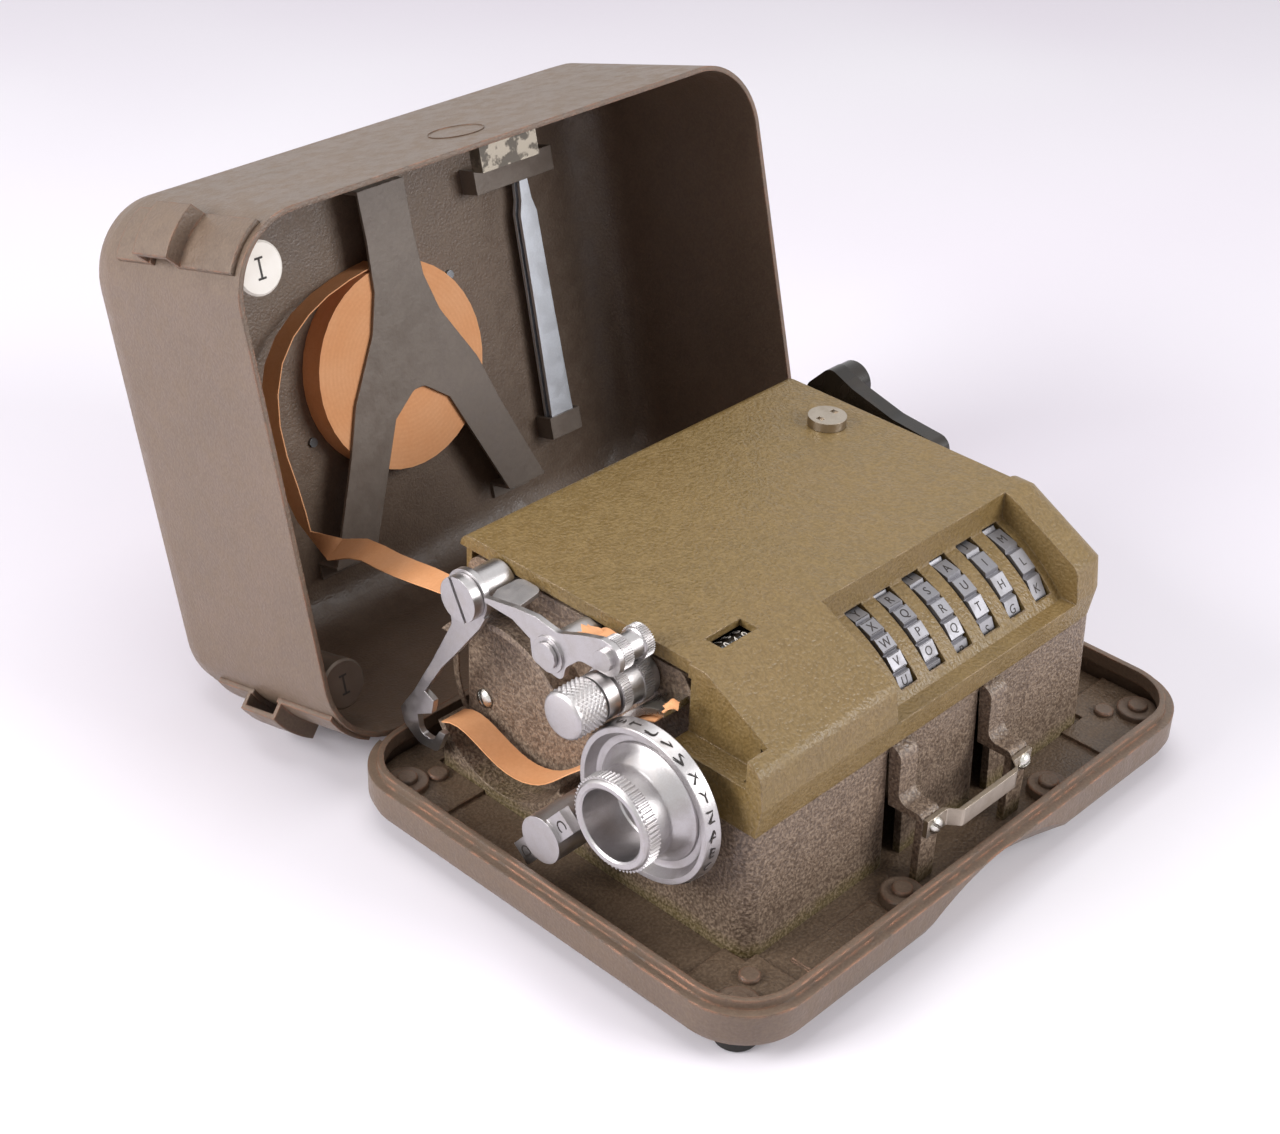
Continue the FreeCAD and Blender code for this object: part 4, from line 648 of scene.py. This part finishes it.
class CIPHER_OT_lid_store(bpy.types.Operator):
    """Makes what the outer lid carries: tape roll, its retainer, tweezers and the two small cans."""

    bl_idname = "cipher.lid_store"
    bl_label = "Lid fittings"

    def execute(self, context):
        smooth_copy("reel_retainer", "sheet", 30.0)
        smooth_copy("tape_roll", "roll", 40.0)
        smooth_copy("tape_free", "paper", 50.0)
        smooth_copy("tweezers", "tweezer", 30.0)
        coat("tweezer_clips", "sheet")
        smooth_copy("can_clips", "steel", 40.0)
        coat("lid_rivets", "steel")
        profile = ((4.0, 0), (4.0, 5.9), (4.5, 6.45), (7.5, 6.5), (7.7, 6.3), (57.6, 6.3), (58.0, 5.9),
                   (58.0, 0))
        for node, x, height, finish, slot in CANS:
            y = HALF_Y - height
            can = spun(profile, upright(x, y, TRAY_RIM), 56)
            mark = bmesh.new()
            for size, shift in (((0.5, 5.2, 0.2), 0.0), ((2.2, 0.5, 0.2), -2.4), ((2.2, 0.5, 0.2), 2.4)):
                spot = Matrix.Translation(Vector((x, y + shift, TRAY_RIM + CAN_MARK)) * MM)
                join(mark, block(size, spot))
            bmesh.ops.transform(can, matrix=lid_turn(), verts=can.verts)
            bmesh.ops.transform(mark, matrix=lid_turn(), verts=mark.verts)
            place_piece(node + "_round", can, finish, "lid", (node,))
            place_piece(node + "_slot_mark", mark, "ink", "lid")
        return {"FINISHED"}


class CIPHER_OT_body(bpy.types.Operator):
    """Makes the machine body, its frames and the inner cover with its lock."""

    bl_idname = "cipher.body"
    bl_label = "Body and inner cover"

    def execute(self, context):
        smooth_copy("floor_plate", "floor", 32.0)
        smooth_copy("body_shell", "body", 32.0)
        side = merged("left_frame")
        # The stub of the setting knob ends inside the knob, below the floor of its hollow
        bmesh.ops.bisect_plane(side, geom=side.verts[:] + side.edges[:] + side.faces[:],
                               plane_co=(-74.2 * MM, 0, 0), plane_no=(1, 0, 0), clear_inner=True)
        bmesh.ops.holes_fill(side, edges=[edge for edge in side.edges if edge.is_boundary], sides=0)
        place_piece("left_frame_smooth", side, "body", "base", ("left_frame",), 32.0)
        coat("right_frame", "body")
        smooth_copy("inner_cover", "cover", 32.0)
        smooth_copy("catch_legs", "body", 40.0)
        smooth_copy("catch_bar", "worn_nickel", 40.0)
        smooth_copy("lock_knob", "worn_nickel", 30.0)
        return {"FINISHED"}


class CIPHER_OT_works(bpy.types.Operator):
    """Makes the works under the inner cover: shafts, guide arms, the bar drum and its handle."""

    bl_idname = "cipher.works"
    bl_label = "Inner works and handle"

    def execute(self, context):
        for node in ("wheel_shaft", "guide_arm_rod", "drum_shaft", "drum_discs", "slide_bars",
                     "counter_frame"):
            coat(node, "steel")
        coat("slide_bar_lugs", "brass")
        for n in range(len(WHEEL_LETTERS)):
            coat("guide_arm_" + str(n + 1), "steel")
        smooth_copy("drive_handle", "black", 35.0)
        return {"FINISHED"}


class CIPHER_OT_key_wheels(bpy.types.Operator):
    """Makes the six key wheels: bright toothed rims, each tooth with its framed letter."""

    bl_idname = "cipher.key_wheels"
    bl_label = "Key wheels"

    def execute(self, context):
        sizes = context.scene.cipher_sizes
        for n, (alphabet, seen, tooth) in enumerate(WHEEL_LETTERS):
            node = "key_wheel_" + str(n + 1)
            coat(node, "wheel")
            x = WHEEL_FIRST_X + n * WHEEL_PITCH
            count = len(alphabet)
            step = math.tau / count
            flat_r = WHEEL_R * math.cos(TOOTH_HALF * step)
            height = min(sizes.wheel_letter, 0.56 * step * WHEEL_R * MM)
            letters = bmesh.new()
            for i in range(count):
                letter = alphabet[(alphabet.index(seen) - (i - tooth)) % count]
                letter_on_rim(letters, letter, height, sizes.ink, x, WHEEL_Y, WHEEL_Z, flat_r,
                              i * step, 0.95)
                for share in (-FRAME_HALF, FRAME_HALF):
                    angle = (i + share) * step
                    across = WHEEL_Y + (flat_r + 0.02) * math.cos(angle)
                    spot = Vector((x, across, WHEEL_Z + (flat_r + 0.02) * math.sin(angle))) * MM
                    turn = Matrix.Rotation(angle, 4, "X")
                    join(letters, block((4.2, 0.12, 0.26), Matrix.Translation(spot) @ turn))
            place_piece(node + "_letters", letters, "ink", body_of(node), (), 30.0, False)
        return {"FINISHED"}


class CIPHER_OT_counter(bpy.types.Operator):
    """Makes the four digit wheels under the small window."""

    bl_idname = "cipher.counter"
    bl_label = "Counter"

    def execute(self, context):
        sizes = context.scene.cipher_sizes
        for n, first in enumerate(COUNT_SHOWN):
            node = "counter_wheel_" + str(n + 1)
            x = COUNT_FIRST_X + COUNT_PITCH * n
            profile = ((x, 1.3), (x, 4.8), (x + 0.2, COUNT_R), (x + 2.7, COUNT_R), (x + 2.9, 4.8),
                       (x + 2.9, 1.3), (x, 1.3))
            rim = spun(profile, along_x(COUNT_Y, COUNT_Z), 40)
            place_piece(node + "_round", rim, "black", body_of(node), (node,))
            digits = bmesh.new()
            for d in range(10):
                angle = COUNT_FIRST + math.tau * d / 10
                letter_on_rim(digits, str((first - d) % 10), sizes.counter_digit, sizes.ink,
                              x + 1.45, COUNT_Y, COUNT_Z, COUNT_R, angle)
            place_piece(node + "_digits", digits, "white_cap", body_of(node), (), 30.0,
                        False)
        return {"FINISHED"}


class CIPHER_OT_setting(bpy.types.Operator):
    """Makes the setting knob with its knurled band, the lettered disk and the type wheel."""

    bl_idname = "cipher.setting"
    bl_label = "Setting knob and letter disk"

    def execute(self, context):
        sizes = context.scene.cipher_sizes
        axis = along_x(WHEEL_Y, WHEEL_Z)
        # Hollow end, knurled grip, neck and dish, from the inside out
        profile = ((-74.6, 3.3), (-74.6, 8.3), (-75.0, 8.7), (-85.6, 8.7), (-86.0, 9.2), (-86.0, 10.3),
                   (-85.6, 10.8), (-85.25, 10.95), (-82.0, 10.95), (-81.6, 10.9), (-78.2, 10.9),
                   (-77.4, 11.2), (-74.6, 13.4), (-73.9, 14.3), (-73.4, 14.5), (-73.4, 3.3), (-74.6, 3.3))
        knob = spun(profile, axis, 96)
        join(knob, ridged_band(-85.1, -82.0, WHEEL_Y, WHEEL_Z, 11.05, 11.6, 62))
        place_piece("setting_knob_turned", knob, "alloy", "setting",
                    ("setting_knob",), 30.0)
        profile = ((-76.0, 17.6), (-76.0, 18.9), (-75.8, 19.1), (-72.2, 19.85), (-71.9, 19.7), (-71.9, 3.3),
                   (-73.3, 3.3), (-73.3, 15.4), (-73.6, 16.2), (-75.6, 17.4), (-76.0, 17.6))
        place_piece("indicator_disk_turned", spun(profile, axis, 120), "alloy", "setting",
                    ("indicator_disk",), 30.0)
        coat("type_wheel", "steel")
        letters = bmesh.new()
        for n, letter in enumerate(LETTERS):
            angle = DISK_FIRST + math.tau * n / len(LETTERS)
            letter_on_rim(letters, letter, sizes.disk_letter, sizes.ink, DISK_LETTER_X, WHEEL_Y, WHEEL_Z,
                          DISK_LETTER_R, angle, 0.95)
        place_piece("indicator_disk_letters", letters, "ink", "setting", (),
                    30.0, False)
        return {"FINISHED"}


class CIPHER_OT_tape_drive(bpy.types.Operator):
    """Makes the tape feed: knurled feed roller, pressure arm and roller, posts, hook and the tape in it."""

    bl_idname = "cipher.tape_drive"
    bl_label = "Tape feed"

    def execute(self, context):
        sizes = context.scene.cipher_sizes
        profile = ((-84.0, 0), (-84.0, 4.9), (-83.8, 5.35), (-83.4, 5.7), (-83.0, 5.75), (-75.5, 5.75),
                   (-75.2, 5.5), (-75.2, 4.2), (-74.6, 4.2), (-74.6, 5.6), (-71.2, 5.6), (-71.2, 4.4),
                   (-70.2, 4.4), (-70.2, 5.5), (-58.6, 5.5), (-58.4, 5.3), (-58.4, 2.0), (-54.8, 2.0),
                   (-54.8, 0))
        feed = spun(profile, along_x(FEED_Y, FEED_Z), 72)
        join(feed, diamond_sleeve(-83.2, -75.3, FEED_Y, FEED_Z, 6.1, 24, 12, 0.38))
        join(feed, ridged_band(-70.1, -67.4, FEED_Y, FEED_Z, 5.65, 6.0, 56))
        join(feed, ridged_band(-63.4, -60.6, FEED_Y, FEED_Z, 5.65, 6.0, 56))
        place_piece("feed_roller_turned", feed, "alloy", "feed",
                    ("feed_roller",), 32.0, False)
        profile = ((-70.3, 1.46), (-70.3, 3.6), (-67.2, 3.6), (-67.0, 3.3), (-63.4, 3.3), (-63.2, 3.6),
                   (-60.6, 3.6), (-60.6, 1.46), (-70.3, 1.46))
        roller = spun(profile, along_x(PRESS_Y, PRESS_Z), 64)
        join(roller, ridged_band(-70.2, -67.3, PRESS_Y, PRESS_Z, 3.75, 4.1, 40))
        join(roller, ridged_band(-63.1, -60.7, PRESS_Y, PRESS_Z, 3.75, 4.1, 40))
        place_piece("pressure_roller_turned", roller, "alloy", "press_roller",
                    ("pressure_roller",), 32.0)
        smooth_copy("pressure_arm", "alloy", 32.0)
        smooth_copy("frame_posts", "alloy", 32.0)
        smooth_copy("tape_hook", "alloy", 32.0)
        coat("tape_guide", "nickel")
        smooth_copy("tape_run", "paper", 50.0)
        smooth_copy("mode_knob", "alloy", 32.0)

        marks = bmesh.new()
        for letter, side in (("C", 1), ("D", -1)):
            up_way = Vector((0, side * math.cos(TAB_TURN), side * math.sin(TAB_TURN)))
            middle = Vector((TAB_FACE_X, MODE_Y, MODE_Z)) + TAB_LETTER_R * up_way
            turn = Matrix((up_way.cross(-X_AXIS), up_way, -X_AXIS)).transposed().to_4x4()
            first = len(marks.verts)
            marks.from_mesh(glyph(letter, 3.2 * MM, sizes.ink))
            marks.verts.ensure_lookup_table()
            bmesh.ops.transform(marks, matrix=Matrix.Translation(middle * MM) @ turn,
                                verts=marks.verts[first:])
        place_piece("mode_knob_letters", marks, "ink", "mode", (), 30.0, False)

        scraps = join(torn_scrap(-66.0, 4.0, 70.2, 7.0, 7.5, 0.55, 1),
                      torn_scrap(-66.5, -20.5, 65.8, 4.2, 3.4, -0.25, 2))
        place_piece("torn_tape_scraps", scraps, "paper", "base", (), 40.0, False)
        return {"FINISHED"}


class CIPHER_OT_screws(bpy.types.Operator):
    """Makes the flat rivet heads of the tray and the slotted round-head screws of the body."""

    bl_idname = "cipher.screws"
    bl_label = "Screws"

    def execute(self, context):
        slot_w = context.scene.cipher_sizes.screw_slot / MM
        dull = bmesh.new()
        bright = bmesh.new()
        flat_head = ((0.0, 2.6), (0.9, 2.6), (1.25, 2.3), (1.3, 0))
        for spots, height in ((FOOT_SPOTS, 6.0), (RIVET_SPOTS, 4.5)):
            for x, y in spots:
                join(dull, spun(flat_head, upright(x, y, FOOT + height), 32))
        to_front = Matrix.Rotation(math.radians(-90), 4, "Z")
        for x, turn in ((-14.25, 0.8), (20.75, 1.7)):
            spot = Matrix.Translation(Vector((x, -57.4, 20.8 + FOOT)) * MM)
            slotted_head(bright, 2.2, 1.6, spot @ to_front, turn, slot_w)
        to_left = Matrix.Rotation(math.pi, 4, "Z")
        spot = Matrix.Translation(Vector((-58.0, 47.4, 23.6 + FOOT)) * MM)
        slotted_head(bright, 2.6, 1.35, spot @ to_left, 0.5, slot_w)
        place_piece("tray_screws", dull, "case", "base", ("machine_screws",), 40.0, False)
        place_piece("bright_screws", bright, "nickel", "base", (), 40.0, False)
        return {"FINISHED"}


class CIPHER_OT_stage(bpy.types.Operator):
    """Makes the pale floor, the soft lamps and the camera at the photograph's place."""

    bl_idname = "cipher.stage"
    bl_label = "Floor, lamps and camera"

    def execute(self, context):
        scene = context.scene
        sizes = scene.cipher_sizes
        bm = bmesh.new()
        bmesh.ops.create_grid(bm, x_segments=1, y_segments=1, size=sizes.floor / 2)
        mesh = bpy.data.meshes.new("floor")
        bm.to_mesh(mesh)
        bm.free()
        material, tree, place = new_finish("pale_paper_floor")
        cloud = speckle(tree, place, 400.0, 2.0)
        tone = layer(tree, shade("#EEE8F0"), cloud, 1.0, "#F4F1F6")
        surface(tree, {"Base Color": tone, "Roughness": 0.85})
        mesh.materials.append(material)
        floor = bpy.data.objects.new("floor", mesh)
        scene.collection.objects.link(floor)

        world = bpy.data.worlds.new("soft surround")
        scene.world = world
        world.use_nodes = True
        tree = world.node_tree
        tree.nodes.clear()
        rays = add(tree, "ShaderNodeLightPath", {}, {}).outputs
        seen = add(tree, "ShaderNodeMath", PLUS, {0: rays["Is Camera Ray"], 1: rays["Is Glossy Ray"]})
        seen = add(tree, "ShaderNodeMath", PLUS, {0: seen.outputs[0], 1: rays["Is Transmission Ray"]})
        dim = add(tree, "ShaderNodeBackground", {}, {"Color": shade("#F2EEF6"), "Strength": 0.30})
        full = add(tree, "ShaderNodeBackground", {}, {"Color": shade("#FFFFFF"), "Strength": 1.0})
        both = add(tree, "ShaderNodeMixShader", {}, {
            0: seen.outputs[0], 1: dim.outputs[0], 2: full.outputs[0]})
        add(tree, "ShaderNodeOutputWorld", {}, {"Surface": both.outputs[0]})

        for name, spot, size, power in LAMPS:
            light = bpy.data.lights.new(name, "AREA")
            light.size = size
            light.energy = power
            lamp = bpy.data.objects.new(name, light)
            lamp.location = spot
            lamp.rotation_euler = (LAMP_AIM - Vector(spot)).to_track_quat("-Z", "Y").to_euler()
            scene.collection.objects.link(lamp)

        lens = bpy.data.cameras.new("photograph")
        lens.sensor_fit = "HORIZONTAL"
        lens.sensor_width = 36.0
        lens.lens = sizes.lens
        lens.clip_start = 0.01
        camera = bpy.data.objects.new("photograph", lens)
        turn = Matrix((CAMERA_RIGHT, CAMERA_UP, -CAMERA_AHEAD)).transposed().to_4x4()
        camera.matrix_world = Matrix.Translation(CAMERA_SPOT * MM) @ turn
        scene.collection.objects.link(camera)
        scene.camera = camera
        scene.view_settings.view_transform = "Standard"
        return {"FINISHED"}


STEPS = (
    CIPHER_OT_case,
    CIPHER_OT_lid_store,
    CIPHER_OT_body,
    CIPHER_OT_works,
    CIPHER_OT_key_wheels,
    CIPHER_OT_counter,
    CIPHER_OT_setting,
    CIPHER_OT_tape_drive,
    CIPHER_OT_screws,
    CIPHER_OT_stage,
)


class CIPHER_PT_panel(bpy.types.Panel):
    """Lists the sizes, the colours and the pieces of the machine."""

    bl_idname = "CIPHER_PT_panel"
    bl_label = "Cipher machine"
    bl_space_type = "VIEW_3D"
    bl_region_type = "UI"
    bl_category = "Cipher machine"

    def draw(self, context):
        for group in (context.scene.cipher_sizes, context.scene.cipher_colours):
            for key in group.bl_rna.properties.keys():
                if key not in ("rna_type", "name"):
                    self.layout.prop(group, key)
        for step in STEPS:
            self.layout.operator(step.bl_idname)


CLASSES = (CipherSizes, CipherColours, *STEPS, CIPHER_PT_panel)


def register():
    for cls in CLASSES:
        bpy.utils.register_class(cls)
    bpy.types.Scene.cipher_sizes = bpy.props.PointerProperty(type=CipherSizes)
    bpy.types.Scene.cipher_colours = bpy.props.PointerProperty(type=CipherColours)


def unregister():
    del bpy.types.Scene.cipher_colours
    del bpy.types.Scene.cipher_sizes
    for cls in reversed(CLASSES):
        bpy.utils.unregister_class(cls)


def main():
    register()
    make_finishes(bpy.context.scene.cipher_colours)
    for step in STEPS:
        group, name = step.bl_idname.split(".")
        getattr(getattr(bpy.ops, group), name)()


if __name__ == "__main__":
    main()
